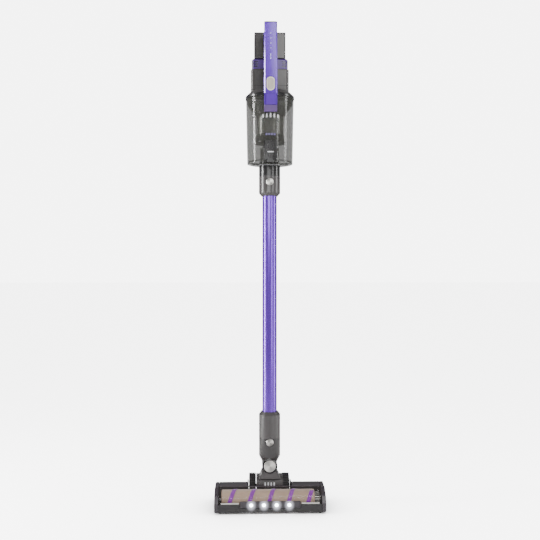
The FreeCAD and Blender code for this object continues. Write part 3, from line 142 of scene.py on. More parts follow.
class VacuumFinish(bpy.types.PropertyGroup):
    shell: colour("Shell", "Grey moulded shells", 60, 57, 57)
    dark: colour("Dark mouldings", "Inner and lower mouldings", 36, 35, 36)
    purple: colour("Lacquer", "Purple lacquer of the handle", 84, 38, 164)
    dull_purple: colour("End piece", "Duller purple at the handle's foot", 84, 58, 116)
    wand: colour("Wand", "Purple of the wand", 104, 60, 180)
    nap: colour("Roller nap", "Velvet of the roller", 176, 150, 130)
    stripe: colour("Roller stripes", "Bristle bands that wind round the roller", 128, 38, 158)
    silver: colour("Silver", "Spun and brushed silver pieces", 216, 213, 208)


class VacuumSizes(bpy.types.PropertyGroup):
    edge: length("Edge rounding", "Rounding of the mouldings' edges", 0.0006)
    stripe_width: length("Stripe width", "Width of each band along the roller", 0.010)
    stripe_pitch: length("Stripe pitch", "Advance of the bristle band in one full turn", 0.0448)
    camera_distance: length("Camera distance", "From the wand to the camera", 1.678)
    camera_height: length("Camera height", "Above the floor", 0.553)


# ---- settings and places --------------------------------------------------------------------------
def sizes():
    return bpy.context.scene.vacuum_sizes


def finish():
    return bpy.context.scene.vacuum_finish


def elbow_seam():
    """Height of the joint line between the elbow's two mouldings."""
    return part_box("elbow_shell")[1].z - ELBOW_SEAM_DROP


def middle(node):
    low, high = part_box(node)
    return (low + high) / 2


def lamp_row():
    """The lamps' radius, the pitch from one to the next, and the middle of each one's front face."""
    low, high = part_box("light_lenses")
    radius = (high.z - low.z) / 2
    pitch = (high.x - low.x - 2 * radius) / (LAMPS - 1)
    middle_z = (low.z + high.z) / 2
    return radius, pitch, [Vector((low.x + radius + i * pitch, low.y, middle_z)) for i in range(LAMPS)]


# ---- shader maths ---------------------------------------------------------------------------------
class Sock:
    """A shader socket that takes part in Python sums."""

    def __init__(self, tree, socket):
        self.tree = tree
        self.socket = socket

    def __add__(self, other):
        return self.tree.sum("ADD", self, other)

    def __sub__(self, other):
        return self.tree.sum("SUBTRACT", self, other)

    def __rsub__(self, other):
        return self.tree.sum("SUBTRACT", other, self)

    def __mul__(self, other):
        return self.tree.sum("MULTIPLY", self, other)

    def __truediv__(self, other):
        return self.tree.sum("DIVIDE", self, other)

    def __gt__(self, other):
        return self.tree.sum("GREATER_THAN", self, other)

    def __lt__(self, other):
        return self.tree.sum("LESS_THAN", self, other)

    __radd__ = __add__
    __rmul__ = __mul__

    def fraction(self):
        return self.tree.sum("FRACT", self)

    def wave(self):
        return self.tree.sum("SINE", self)


class Graph:
    """Adds nodes to a node tree and plugs values or links into them."""

    def __init__(self, tree):
        self.nodes = tree.nodes
        self.links = tree.links

    def add(self, kind, settings=None, inputs=None, out=0):
        node = self.nodes.new(kind)
        for key, value in (settings or {}).items():
            setattr(node, key, value)
        for key, value in (inputs or {}).items():
            self.plug(node.inputs[key], value)
        return Sock(self, node.outputs[out])

    def sum(self, operation, first, second=0.0):
        return self.add("ShaderNodeMath", {"operation": operation}, {0: first, 1: second})

    def plug(self, socket, value):
        if isinstance(value, Sock):
            self.links.new(value.socket, socket)
        else:
            socket.default_value = value


class Finish(Graph):
    """A material being made: its node tree, its shader and the object's own coordinates."""

    def __init__(self, name, **constants):
        self.material = bpy.data.materials.new(name)
        self.material.use_nodes = True
        super().__init__(self.material.node_tree)
        self.shader = self.nodes["Principled BSDF"]
        self.place = self.add("ShaderNodeTexCoord", out="Object")
        for label, value in constants.items():
            self.shader.inputs[label.replace("_", " ")].default_value = value

    def feed(self, **inputs):
        for label, value in inputs.items():
            self.plug(self.shader.inputs[label.replace("_", " ")], value)
        return self

    def axis(self, name, spot=None):
        return self.add("ShaderNodeSeparateXYZ", None, {0: spot or self.place}, out=name)

    def stretched(self, scale, centre=(0, 0, 0)):
        moved = self.add("ShaderNodeVectorMath", {"operation": "SUBTRACT"}, {0: self.place, 1: centre})
        return self.add("ShaderNodeVectorMath", {"operation": "MULTIPLY"}, {0: moved, 1: scale})

    def noise(self, scale, detail=3.0, rough=0.5, vector=None):
        inputs = {"Vector": vector or self.place, "Scale": scale, "Detail": detail, "Roughness": rough}
        return self.add("ShaderNodeTexNoise", None, inputs, out=0)

    def blend(self, amount, first, second):
        """Mixes two colours; a mix node keeps its colours in sockets 6 and 7, and their result in 2."""
        settings = {"data_type": "RGBA", "blend_type": "MIX"}
        return self.add("ShaderNodeMix", settings, {0: amount, 6: first, 7: second}, out=2)

    def bump(self, height, strength, distance):
        inputs = {"Height": height, "Strength": strength, "Distance": distance}
        self.feed(Normal=self.add("ShaderNodeBump", None, inputs))
        return self


def shade(base, factor):
    """The same colour, lighter or darker."""
    return tuple(min(1.0, c * factor) for c in base[:3]) + (1.0,)


def moulded(name, base, roughness=0.42, grain=0.25, coat=0.0, dark_below=None):
    """Moulded plastic: a fine spark-eroded grain, with faint cloudiness in colour and gloss."""
    look = Finish(name, IOR=1.48, Coat_Weight=coat, Coat_Roughness=0.12)
    cloud = look.noise(28.0, 4.0)
    grit = look.noise(2600.0, 2.0, 0.6)
    colour_now = look.blend(cloud, shade(base, 0.88), shade(base, 1.12))
    if dark_below is not None:
        colour_now = look.blend(look.axis("Z") < dark_below, colour_now, shade(base, 0.62))
    look.feed(Base_Color=colour_now, Roughness=roughness - 0.05 + 0.1 * cloud + 0.06 * grit)
    return look.bump(grit + 0.3 * cloud, grain, 0.00008).material


def lacquered(name, base):
    """Metallic lacquer: fine flake under a clear coat."""
    look = Finish(name, Coat_Weight=0.7, Coat_Roughness=0.06, IOR=1.45)
    flake = look.noise(5200.0, 1.0, 0.7)
    cloud = look.noise(14.0, 3.0)
    look.feed(Base_Color=look.blend(flake * 0.7 + 0.3 * cloud, shade(base, 0.78), shade(base, 1.3)))
    look.feed(Metallic=0.3 + 0.2 * flake, Roughness=0.2 + 0.08 * flake)
    return look.bump(flake, 0.08, 0.00003).material


def anodised(name, base):
    """Drawn tube: faint lines along its length under a satin metallic colour."""
    look = Finish(name, Coat_Weight=0.3, Coat_Roughness=0.1)
    drawn = look.noise(60.0, 4.0, 0.6, look.stretched((70.0, 70.0, 0.25)))
    flake = look.noise(4800.0, 1.0)
    look.feed(Base_Color=look.blend(0.6 * drawn + 0.4 * flake, shade(base, 0.82), shade(base, 1.22)))
    look.feed(Metallic=0.62 + 0.15 * flake, Roughness=0.2 + 0.12 * drawn)
    return look.bump(drawn, 0.06, 0.00004).material


def smoked(name, base, alpha, roughness=0.05):
    """Clear plastic with a grey smoke in it and fine moulding waves."""
    look = Finish(name, IOR=1.49, Coat_Weight=0.2, Coat_Roughness=0.03)
    wave = look.noise(22.0, 2.0)
    dust = look.noise(900.0, 3.0, 0.7)
    look.feed(Base_Color=look.blend(wave, shade(base, 0.9), shade(base, 1.15)))
    look.feed(Roughness=roughness + 0.05 * dust, Alpha=alpha - 0.03 + 0.06 * wave)
    return look.bump(wave, 0.05, 0.0004).material


def turned_silver(name, base, centre):
    """Face-turned metal: rings round its own centre, and the fan of light that such a face shows, painted
    into its colour as a highlight.
    """
    look = Finish(name, Metallic=0.9)
    spot = look.stretched((1.0, 0.0, 1.0), centre)
    radius = look.add("ShaderNodeVectorMath", {"operation": "LENGTH"}, {0: spot}, out="Value")
    angle = look.sum("ARCTAN2", look.axis("Z", spot), look.axis("X", spot))
    # painted highlight: the colour turns lighter and darker by angle round the centre
    painted_fan_highlight = (angle * 2.0 + 0.5).wave() * 0.5 + 0.5
    wear_and_highlight = look.noise(120.0, 3.0)
    look.feed(Base_Color=look.blend(painted_fan_highlight * 0.8 + 0.2 * wear_and_highlight, shade(base, 0.42), shade(base, 1.2)))
    look.feed(Roughness=0.26 + 0.12 * wear_and_highlight)
    return look.bump((radius * 9000.0).wave(), 0.25, 0.00004).material


def brushed(name, base, scale=(4.0, 900.0, 900.0)):
    """Metal with fine brush lines along the axis that is scaled least."""
    look = Finish(name)
    lines = look.noise(1.0, 4.0, 0.65, look.stretched(scale))
    look.feed(Base_Color=look.blend(lines, shade(base, 0.8), shade(base, 1.1)), Metallic=1.0)
    look.feed(Roughness=0.22 + 0.22 * lines)
    return look.bump(lines, 0.12, 0.00004).material


def rubbery(name, base=(0.02, 0.02, 0.021, 1.0)):
    """Soft rubber with a fine grain and a faint pale bloom."""
    look = Finish(name, IOR=1.5)
    fine = look.noise(1500.0, 3.0, 0.65)
    bloom = look.noise(35.0, 3.0)
    look.feed(Base_Color=look.blend(bloom, shade(base, 0.8), shade(base, 1.7)))
    look.feed(Roughness=0.6 + 0.2 * fine)
    return look.bump(fine, 0.35, 0.00012).material


def treaded(name, base, centre):
    """Tyre rubber with cross grooves all round: painted shade darkens the hollows, and the ribs between them
    are pale with painted highlight and patchy wear.
    """
    look = Finish(name, IOR=1.5)
    spot = look.stretched((0.0, 1.0, 1.0), centre)
    angle = look.sum("ARCTAN2", look.axis("Z", spot), look.axis("Y", spot))
    groove = (angle * 30.0).wave() > 0.2
    fine = look.noise(1500.0, 3.0, 0.65)
    wear_and_highlight = look.noise(60.0, 3.0)
    # painted shade in the hollows; painted highlight with patchy wear on the ribs
    look.feed(Base_Color=look.blend(groove * (0.4 + 0.6 * wear_and_highlight), shade(base, 0.45), shade(base, 2.6)))
    look.feed(Roughness=0.5 + 0.2 * fine)
    return look.bump(groove + 0.2 * fine, 0.6, 0.0006).material


def lamplit(name, base, coat):
    """Moulding beside the lamps, with the pool of light that each of them throws on it painted on as a glow.
    """
    look = Finish(name, IOR=1.48, Coat_Weight=coat, Coat_Roughness=0.12, Emission_Strength=1.5)
    pitch, row = lamp_row()[1:]
    along = (look.axis("X") - row[0].x) / pitch + 0.5
    across = (along.fraction() - 0.5) * pitch
    drop = look.axis("Z") - row[0].z
    within = (along > 0.0) * (along < float(LAMPS))
    # painted light: a glowing pool round each lamp, made by the moulding's own emission
    painted_pool = look.sum("MAXIMUM", 1.0 - (across * across + 0.7 * drop * drop) / LAMP_POOL ** 2)
    grit = look.noise(2600.0, 2.0, 0.6)
    look.feed(Base_Color=look.blend(grit, shade(base, 0.88), shade(base, 1.12)))
    look.feed(Roughness=0.36 + 0.1 * grit)
    look.feed(Emission_Color=look.blend(painted_pool * painted_pool * painted_pool * within, (0, 0, 0, 1), (0.88, 0.88, 1.0, 1.0)))
    return look.bump(grit, 0.25, 0.00008).material


def napped(name, base, pale=1.25):
    """Short velvet nap: clumps of fibre with a soft sheen at grazing angles."""
    look = Finish(name, Sheen_Weight=0.6, Sheen_Roughness=0.4)
    fibre = look.noise(1400.0, 4.0, 0.75)
    clump = look.noise(90.0, 4.0, 0.6)
    lay = look.noise(1.0, 3.0, 0.6, look.stretched((40.0, 300.0, 300.0)))
    shadow = 0.45 * fibre + 0.3 * clump + 0.25 * lay
    look.feed(Base_Color=look.blend(shadow, shade(base, 0.6), shade(base, pale)))
    look.feed(Roughness=0.85 + 0.1 * fibre)
    return look.bump(fibre + 0.5 * clump, 0.7, 0.0006).material


def pierced(name, base, pitch, turned_about):
    """Sheet metal with rows of small round holes drawn as dark dimples."""
    look = Finish(name)
    spot = look.stretched((1.0, 1.0, 1.0), turned_about)
    angle = look.sum("ARCTAN2", look.axis("Y", spot), look.axis("X", spot))
    column = (angle * (PIERCED_RADIUS / pitch)).fraction() - 0.5
    row = (look.axis("Z", spot) / pitch).fraction() - 0.5
    hole = look.sum("SQRT", column * column + row * row) < 0.3
    look.feed(Base_Color=look.blend(hole, base, (0.004, 0.004, 0.004, 1.0)))
    look.feed(Metallic=0.85 * (1.0 - hole), Roughness=0.24 + 0.4 * hole)
    return look.bump(1.0 - hole, 0.5, 0.0003).material


def pleated(name, base):
    """Filter cloth of matted fibre."""
    look = Finish(name)
    fibre = look.noise(1200.0, 4.0, 0.7)
    look.feed(Base_Color=look.blend(fibre, shade(base, 0.8), shade(base, 1.05)))
    look.feed(Roughness=0.85 + 0.1 * fibre)
    return look.bump(fibre, 0.4, 0.0003).material


def glowing(name, tint, strength):
    """A lit lamp, a little uneven in its glow."""
    look = Finish(name, Base_Color=(0.9, 0.92, 1.0, 1.0), Roughness=0.1, Emission_Strength=strength)
    glow = look.noise(600.0, 1.0)
    look.feed(Emission_Color=look.blend(glow, shade(tint, 0.85), tint))
    return look.material


def printed(name, base):
    """Plain printed mark, its ink a little uneven."""
    look = Finish(name, IOR=1.45)
    ink = look.noise(900.0, 3.0)
    look.feed(Base_Color=look.blend(ink, shade(base, 0.85), base), Roughness=0.4 + 0.15 * ink)
    return look.material


# ---- mesh helpers ---------------------------------------------------------------------------------
def finish_mesh(name, bm, body, material, replaced=(), edge=0.0, segments=2):
    """Turns a bmesh into a piece that rides on a body, with its edges rounded."""
    bmesh.ops.remove_doubles(bm, verts=bm.verts, dist=MERGE)
    bmesh.ops.recalc_face_normals(bm, faces=bm.faces)
    return place_mesh(name, bm, body, material, replaced, edge, segments)


def place_mesh(name, bm, body, material, replaced=(), edge=0.0, segments=2):
    """Turns a bmesh into a piece as it is, without merging or turning its faces."""
    mark_edges(bm)
    mesh = bpy.data.meshes.new(name)
    bm.to_mesh(mesh)
    bm.free()
    piece = bpy.data.objects.new(name, mesh)
    bpy.context.scene.collection.objects.link(piece)
    mesh.materials.append(material)
    if edge:
        bevel = piece.modifiers.new("edge", "BEVEL")
        bevel.width = edge
        bevel.segments = segments
        bevel.limit_method = "ANGLE"
        bevel.angle_limit = SMOOTH_ANGLE
        bevel.harden_normals = True
        bevel.use_clamp_overlap = True
    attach(piece, body)
    if replaced:
        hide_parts(*replaced)
    return piece


def mark_edges(bm):
    """Smooth faces everywhere, with the real corners kept sharp."""
    for face in bm.faces:
        face.smooth = True
    for edge in bm.edges:
        if len(edge.link_faces) == 2:
            edge.smooth = edge.calc_face_angle(0.0) < SMOOTH_ANGLE


def dressed(node, body, material, edge=None, segments=2):
    """The CAD node's own shape, merged and cleaned, with rounded edges."""
    bm = bmesh.new()
    bm.from_mesh(NODES[node].data)
    bmesh.ops.remove_doubles(bm, verts=bm.verts, dist=MERGE)
    bmesh.ops.dissolve_limit(bm, angle_limit=math.radians(0.5), verts=bm.verts, edges=bm.edges,
                             use_dissolve_boundaries=False)
    width = sizes().edge if edge is None else edge
    return place_mesh(node + "_shape", bm, body, material, (node,), width, segments)


def polish(node, material):
    """Keeps the CAD node as it is and gives it a finish."""
    materials = NODES[node].data.materials
    materials.clear()
    materials.append(material)


def lathe(profile, centre=(0, 0), steps=96):
    """Solid of revolution about the upright line through centre, from (radius, z) points.

    An outline that keeps off that line is closed into a ring."""
    bm = bmesh.new()
    verts = [bm.verts.new((centre[0] + r, centre[1], z)) for r, z in profile]
    edges = [bm.edges.new((a, b)) for a, b in zip(verts, verts[1:])]
    if min(profile[0][0], profile[-1][0]) > MERGE:
        edges.append(bm.edges.new((verts[-1], verts[0])))
    bmesh.ops.spin(bm, geom=verts + edges, cent=(centre[0], centre[1], 0), axis=(0, 0, 1), dvec=(0, 0, 0),
                   angle=math.tau, steps=steps, use_merge=True, use_duplicate=False)
    return bm


def lay_on(bm, axis, centre):
    """Turns an upright lathe form so that its axis runs along x or y, then moves it to its centre."""
    turn = Matrix.Rotation(QUARTER, 4, "Y" if axis == "x" else "X")
    bmesh.ops.transform(bm, matrix=Matrix.Translation(centre) @ turn, verts=bm.verts)
    return bm


def slab(low, high):
    """Box between two corners, as a bmesh of its own."""
    bm = bmesh.new()
    add_slab(bm, low, high)
    return bm


def add_slab(bm, low, high):
    """Adds a box between two corners."""
    low, high = Vector(low), Vector(high)
    size = high - low
    place = Matrix.Translation((low + high) / 2) @ Matrix.Diagonal((size.x, size.y, size.z, 1.0))
    bmesh.ops.create_cube(bm, size=1.0, matrix=place)


def add_stud(bm, radius, centre, depth, segments=24):
    """Adds a short round stud that lies front to back."""
    place = Matrix.Translation(centre) @ Matrix.Rotation(QUARTER, 4, "X")
    bmesh.ops.create_cone(bm, cap_ends=True, segments=segments, radius1=radius, radius2=radius, depth=depth,
                          matrix=place)


def merge(target, other):
    """Moves everything of one bmesh into another."""
    mesh = bpy.data.meshes.new("passing")
    other.to_mesh(mesh)
    other.free()
    target.from_mesh(mesh)
    bpy.data.meshes.remove(mesh)
    return target


def pill_row(places, width, height, front_y, base_z, proud):
    """Flat capsules on a plane that faces the front, at (x, z) offsets from the middle."""
    bm = bmesh.new()
    radius = min(width, height) / 2
    for x, z in places:
        if width > height:
            ends = ((x - width / 2 + radius, z), (x + width / 2 - radius, z))
            add_slab(bm, (x - width / 2 + radius, front_y - proud, base_z + z - radius),
                     (x + width / 2 - radius, front_y + proud, base_z + z + radius))
        else:
            ends = ((x, z - height / 2 + radius), (x, z + height / 2 - radius))
            if height > width:
                add_slab(bm, (x - radius, front_y - proud, base_z + z - height / 2 + radius),
                         (x + radius, front_y + proud, base_z + z + height / 2 - radius))
        for ex, ez in set(ends):
            add_stud(bm, radius, (ex, front_y, base_z + ez), 2 * proud)
    return bm


def pill(low, high, inset, sunk):
    """Upright capsule that fills a box, pulled in by inset, with its face set back by sunk."""
    radius = (high.x - low.x) / 2 - inset
    bm = bmesh.new()
    centre = (low + high) / 2
    reach = (high.z - low.z) / 2 - inset - radius
    steps = 24
    rim = []
    for half, base in ((1, 0.0), (-1, math.pi)):
        for i in range(steps + 1):
            angle = base + math.pi * i / steps
            rim.append(bm.verts.new((centre.x + radius * math.cos(angle), low.y + sunk,
                                     centre.z + half * reach + radius * math.sin(angle))))
    face = bm.faces.new(rim)
    made = bmesh.ops.extrude_face_region(bm, geom=[face])
    moved = [v for v in made["geom"] if isinstance(v, bmesh.types.BMVert)]
    bmesh.ops.translate(bm, vec=(0, high.y - low.y - 0.001, 0), verts=moved)
    return bm


def rounded_loop(low, high, corner, z, height, proud):
    """Closed strip round a box with rounded upright corners, standing slightly proud."""
    bm = bmesh.new()
    centre = (low + high) / 2
    half_x = (high.x - low.x) / 2 + proud
    half_y = (high.y - low.y) / 2 + proud
    size = Matrix.Diagonal((2 * half_x, 2 * half_y, height, 1.0))
    place = Matrix.Translation((centre.x, centre.y, z)) @ size
    bmesh.ops.create_cube(bm, size=1.0, matrix=place)
    upright = [e for e in bm.edges if abs((e.verts[0].co - e.verts[1].co).normalized().z) > 0.99]
    bmesh.ops.bevel(bm, geom=upright, offset=corner + proud, offset_type="OFFSET", segments=12, profile=0.5,
                    affect="EDGES", material=-1)
    return bm


# ---- the finishes ---------------------------------------------------------------------------------
_made = {}


def material(kind):
    """Each finish is made once and shared."""
    if kind not in _made:
        look = finish()
        makers = {
            "shell": lambda: moulded("grey_moulding", look.shell, 0.3, 0.2, 0.3),
            "elbow": lambda: moulded("elbow_moulding", look.shell, 0.3, 0.2, 0.3, elbow_seam()),
            "dark": lambda: moulded("dark_moulding", look.dark, 0.42),
            "gloss": lambda: moulded("black_gloss", shade(look.dark, 0.5), 0.24, 0.05, 0.25),
            "head": lambda: moulded("head_moulding", HEAD_GREY, 0.36, 0.2, 0.12),
            "lit_head": lambda: lamplit("lit_moulding", HEAD_GREY, 0.12),
            "lit_rubber": lambda: lamplit("lit_rubber", linear(40, 38, 39), 0.0),
            "band": lambda: moulded("violet_band", linear(74, 46, 122), 0.3, 0.2, 0.15),
            "lacquer": lambda: lacquered("purple_lacquer", look.purple),
            "dull": lambda: moulded("dull_purple", look.dull_purple, 0.42, 0.2, 0.2),
            "wand": lambda: anodised("purple_tube", look.wand),
            "smoke": lambda: smoked("smoked_bin", linear(70, 70, 66), 0.36),
            "window": lambda: smoked("smoked_window", linear(92, 86, 84), 0.10, 0.03),
            "funnel": lambda: moulded("funnel_moulding", linear(46, 46, 43), 0.3, 0.1, 0.5),
            "silver": lambda: brushed("brushed_silver", look.silver),
            "steel": lambda: brushed("plain_steel", linear(150, 150, 152)),
            "rubber": lambda: rubbery("black_rubber"),
            "tread": lambda: rubbery("tyre_rubber", TYRE_BLACK),
            "nap": lambda: napped("roller_velvet", look.nap),
            "stripe": lambda: napped("stripe_bristle", look.stripe, 1.5),
            "filter": lambda: pleated("filter_cloth", linear(225, 222, 214)),
            "can": lambda: brushed("motor_can", linear(130, 122, 112), (900.0, 900.0, 6.0)),
            "board": lambda: printed("board_lacquer", linear(24, 92, 58)),
            "cell": lambda: printed("cell_sleeve", linear(40, 110, 140)),
            "mark": lambda: printed("white_mark", linear(225, 225, 228)),
            "violet_mark": lambda: printed("violet_mark", linear(150, 140, 205)),
            "champagne": lambda: moulded("champagne_button", linear(186, 176, 166), 0.28, 0.1, 0.3),
            "cream": lambda: moulded("cream_rim_and_highlight", linear(228, 222, 204), 0.25, 0.1, 0.4),
            "lamp": lambda: glowing("lit_lamp", (0.86, 0.9, 1.0, 1.0), 14.0),
            "status": lambda: glowing("status_lamp", (0.9, 0.88, 1.0, 1.0), 1.2),
        }
        _made[kind] = makers[kind]()
    return _made[kind]


# ---- what several pieces share --------------------------------------------------------------------
def collar_button(node, body):
    """Round push with a dished face and a bright edge."""
    low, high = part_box(node)
    centre = (low + high) / 2
    radius = (high.z - low.z) / 2
    depth = high.y - low.y
    face = [(0.0, 0.0), (0.0, depth - 0.0006), (radius * 0.6, depth - 0.0004), (radius * 0.8, depth - 0.0001),
            (radius * 0.9, depth), (radius, depth - 0.0008), (radius, 0.0)]
    bm = lathe(face, steps=72)
    lay_on(bm, "y", (centre.x, high.y, centre.z))
    look = turned_silver(node + "_silver", shade(finish().silver, 0.8), tuple(centre))
    finish_mesh(node + "_cap", bm, body, look, (node,))


def button_ring(name, node, body):
    """Dark ring that lines the button's pocket, following the collar's wall."""
    low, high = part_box(node)
    centre = (low + high) / 2
    radius = (high.z - low.z) / 2
    out = WAND_Y - math.sqrt(COLLAR_RADIUS ** 2 - (radius + 0.0015) ** 2)
    ring = lathe([(radius + 0.0004, 0.0), (radius + 0.0004, 0.0022), (radius + 0.0014, 0.0022),
                  (radius + 0.0018, 0.0016), (radius + 0.0018, 0.0)], steps=72)
    lay_on(ring, "y", (centre.x, out + 0.0012, centre.z))
    finish_mesh(name, ring, body, material("gloss"))


# ---- the pieces -----------------------------------------------------------------------------------
class VACUUM_OT_head(bpy.types.Operator):
    """Builds the floor head's shells, window, bumper, caps and lights"""
    bl_idname = "vacuum.head"
    bl_label = "Floor head"

    def execute(self, context):
        dressed("head_base", "floor_head", material("dark"))
        dressed("head_top_cover", "floor_head", material("head"), 0.0012, 3)
        dressed("visor", "floor_head", material("window"), 0.0005)
        dressed("visor_trim", "floor_head", material("silver"), 0.0006)
        dressed("bumper", "floor_head", material("lit_rubber"), 0.0008)
        dressed("light_bar", "floor_head", material("lit_head"), 0.0005)
        dressed("light_lenses", "floor_head", material("lamp"), 0.0004)
        dressed("end_cap_left", "floor_head", material("head"))
        dressed("end_cap_right", "floor_head", material("head"))
        dressed("glides", "floor_head", material("tread"), 0.0005)
        for node, kind in (("brush_motor", "can"), ("drive_belt", "rubber"), ("roller_pins", "steel"),
                           ("wheel_axle", "steel"), ("motor_pulley", "steel")):
            polish(node, material(kind))
        self.lamp_rings()
        self.bumper_ribs()
        self.bay_lining()
        return {"FINISHED"}

    def bay_lining(self):
        """Dark walls that line the cover's bay down both sides, next to the wheels."""
        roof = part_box("head_top_cover")[1].z
        near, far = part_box("wheel_tyre_right")
        inner = far.x + CHEEK_GAP
        bm = bmesh.new()
        for side in (-1, 1):
            left, right = sorted((side * inner, side * (inner + BAY_WALL)))
            add_slab(bm, (left, BAY_FRONT, BAY_FLOOR), (right, near.y + 0.012, roof - 0.0014))
        finish_mesh("bay_lining", bm, "floor_head", material("dark"), edge=0.0004)

    def lamp_rings(self):
        """Bright reflector ring round each lamp."""
        radius, _, row = lamp_row()
        bm = bmesh.new()
        for lamp in row:
            ring = lathe([(radius + 0.0001, -0.0006), (radius + 0.0011, -0.0006), (radius + 0.0011, 0.0),
                          (radius + 0.0001, 0.0003)], steps=40)
            merge(bm, lay_on(ring, "y", lamp - Vector((0.0, 0.0001, 0.0))))
        finish_mesh("lamp_rings", bm, "floor_head", material("silver"))

    def bumper_ribs(self):
        """Upright ribs at the bumper's two lower corners."""
        low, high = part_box("bumper")
        bm = bmesh.new()
        for side in (-1, 1):
            for i in range(5):
                x = side * (high.x - 0.004 - i * 0.0032)
                add_slab(bm, (x - 0.0009, low.y + 0.0004, low.z + 0.0002),
                         (x + 0.0009, low.y + 0.004, low.z + 0.007))
        finish_mesh("bumper_ribs", bm, "floor_head", material("tread"), edge=0.0003)


class VACUUM_OT_roller(bpy.types.Operator):
    """Builds the soft roller, its bristle bands and its drive end"""
    bl_idname = "vacuum.roller"
    bl_label = "Roller"

    def execute(self, context):
        polish("roller_core", material("dark"))
        self.sleeve()
        self.bands()
        self.drive_end()
        return {"FINISHED"}

    def sleeve(self):
        """Velvet tube with softly rounded ends."""
        low, high = SLEEVE_LOW, SLEEVE_HIGH
        radius = (high.z - low.z) / 2
        inner = radius - 0.0028
        half = (high.x - low.x) / 2
        round_off = 0.0016
        profile = [(inner, -half), (radius - round_off, -half), (radius - 0.0004, -half + round_off * 0.6),
                   (radius, -half + round_off * 1.5), (radius, half - round_off * 1.5),
                   (radius - 0.0004, half - round_off * 0.6), (radius - round_off, half), (inner, half)]
        bm = lathe(profile, steps=128)
        lay_on(bm, "x", (low + high) / 2)
        finish_mesh("roller_velvet", bm, "brush_roll", material("nap"), ("roller_sleeve",))

    def bands(self):
        """One bristle band that winds round the sleeve from end to end."""
        setup = sizes()
        centre = (STRIPES_LOW + STRIPES_HIGH) / 2
        outer = (STRIPES_HIGH.z - STRIPES_LOW.z) / 2
        inner = (SLEEVE_HIGH.z - SLEEVE_LOW.z) / 2 - 0.0004
        reach = SLEEVE_HIGH.x - SLEEVE_LOW.x - setup.stripe_width - 0.002
        start = SLEEVE_LOW.x + 0.001 + setup.stripe_width / 2
        turns = reach / setup.stripe_pitch
        steps = int(turns * 72)
        half = setup.stripe_width / 2
        first = math.tau * BAND_PHASE
        bm = bmesh.new()
        rim = []
        shoulder = half * 0.86
        section = ((-half, inner), (-shoulder, outer - 0.0002), (0.0, outer), (shoulder, outer - 0.0002),
                   (half, inner))
        for dx, r in section:
            up = Vector((0.0, r * math.cos(first), r * math.sin(first)))
            rim.append(bm.verts.new((start + dx, centre.y + up.y, centre.z + up.z)))
        strip = bm.faces.new(rim)
        bmesh.ops.spin(bm, geom=[strip] + list(strip.edges) + list(strip.verts), cent=centre, axis=(-1, 0, 0),
                       dvec=(reach / steps, 0, 0), angle=turns * math.tau, steps=steps, use_duplicate=False)
        finish_mesh("roller_bands", bm, "brush_roll", material("stripe"), ("roller_stripes",))

    def drive_end(self):
        """Toothed pulley that closes the roller's belt end."""
        dressed("roller_pulley", "brush_roll", material("dark"))
        low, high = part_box("roller_pulley")
        centre = (low + high) / 2
        radius = (high.z - low.z) / 2
        bm = bmesh.new()
        teeth = 20
        for i in range(teeth):
            angle = math.tau * i / teeth
            tooth = slab((low.x + 0.0015, -0.0011, radius - 0.0004),
                         (low.x + 0.0115, 0.0011, radius + 0.0012))
            turn = Matrix.Translation((0, centre.y, centre.z)) @ Matrix.Rotation(angle, 4, "X")
            bmesh.ops.transform(tooth, matrix=turn, verts=tooth.verts)
            merge(bm, tooth)
        finish_mesh("drive_teeth", bm, "brush_roll", material("silver"), edge=0.0003)


class VACUUM_OT_wheels(bpy.types.Operator):
    """Builds the two rear wheels with grooved tyres and ringed hubs"""
    bl_idname = "vacuum.wheels"
    bl_label = "Wheels"

    def execute(self, context):
        for side in ("left", "right"):
            self.tyre(side)
            self.hub(side)
        return {"FINISHED"}

    def tyre(self, side):
        """Tyre with three grooves round it."""
        node = "wheel_tyre_" + side
        low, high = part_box(node)
        centre = (low + high) / 2
        radius = (high.z - low.z) / 2
        half = (high.x - low.x) / 2
        inner = radius - 0.004
        profile = [(inner, -half), (radius - 0.0022, -half), (radius - 0.0007, -half + 0.0008),
                   (radius, -half + 0.0024)]
        grooves = 3
        for i in range(grooves):
            at = (i - (grooves - 1) / 2) * half * 0.5
            profile += [(radius, at - 0.0009), (radius - 0.0011, at - 0.0006), (radius - 0.0011, at + 0.0006),
                        (radius, at + 0.0009)]
        profile += [(radius, half - 0.0024), (radius - 0.0007, half - 0.0008), (radius - 0.0022, half),
                    (inner, half)]
        bm = lathe(profile, steps=96)
        lay_on(bm, "x", centre)
        look = treaded("treads_" + side, TYRE_BLACK, tuple(centre))
        finish_mesh("tyre_" + side, bm, "wheel_" + side, look, (node,))

    def hub(self, side):
        """Hub with a raised ring on its outer face."""
        node = "wheel_hub_" + side
        dressed(node, "wheel_" + side, material("dark"))
        low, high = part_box(node)
        centre = (low + high) / 2
        outward = 1 if side == "right" else -1
        face_x = high.x if outward > 0 else low.x
        ring = lathe([(0.0165, 0.0), (0.0175, 0.0006), (0.0235, 0.0006), (0.0245, 0.0)], steps=72)
        place = Matrix.Translation((face_x, centre.y, centre.z)) @ Matrix.Rotation(outward * QUARTER, 4, "Y")
        bmesh.ops.transform(ring, matrix=place, verts=ring.verts)
        finish_mesh("hub_ring_" + side, ring, "wheel_" + side, material("gloss"))


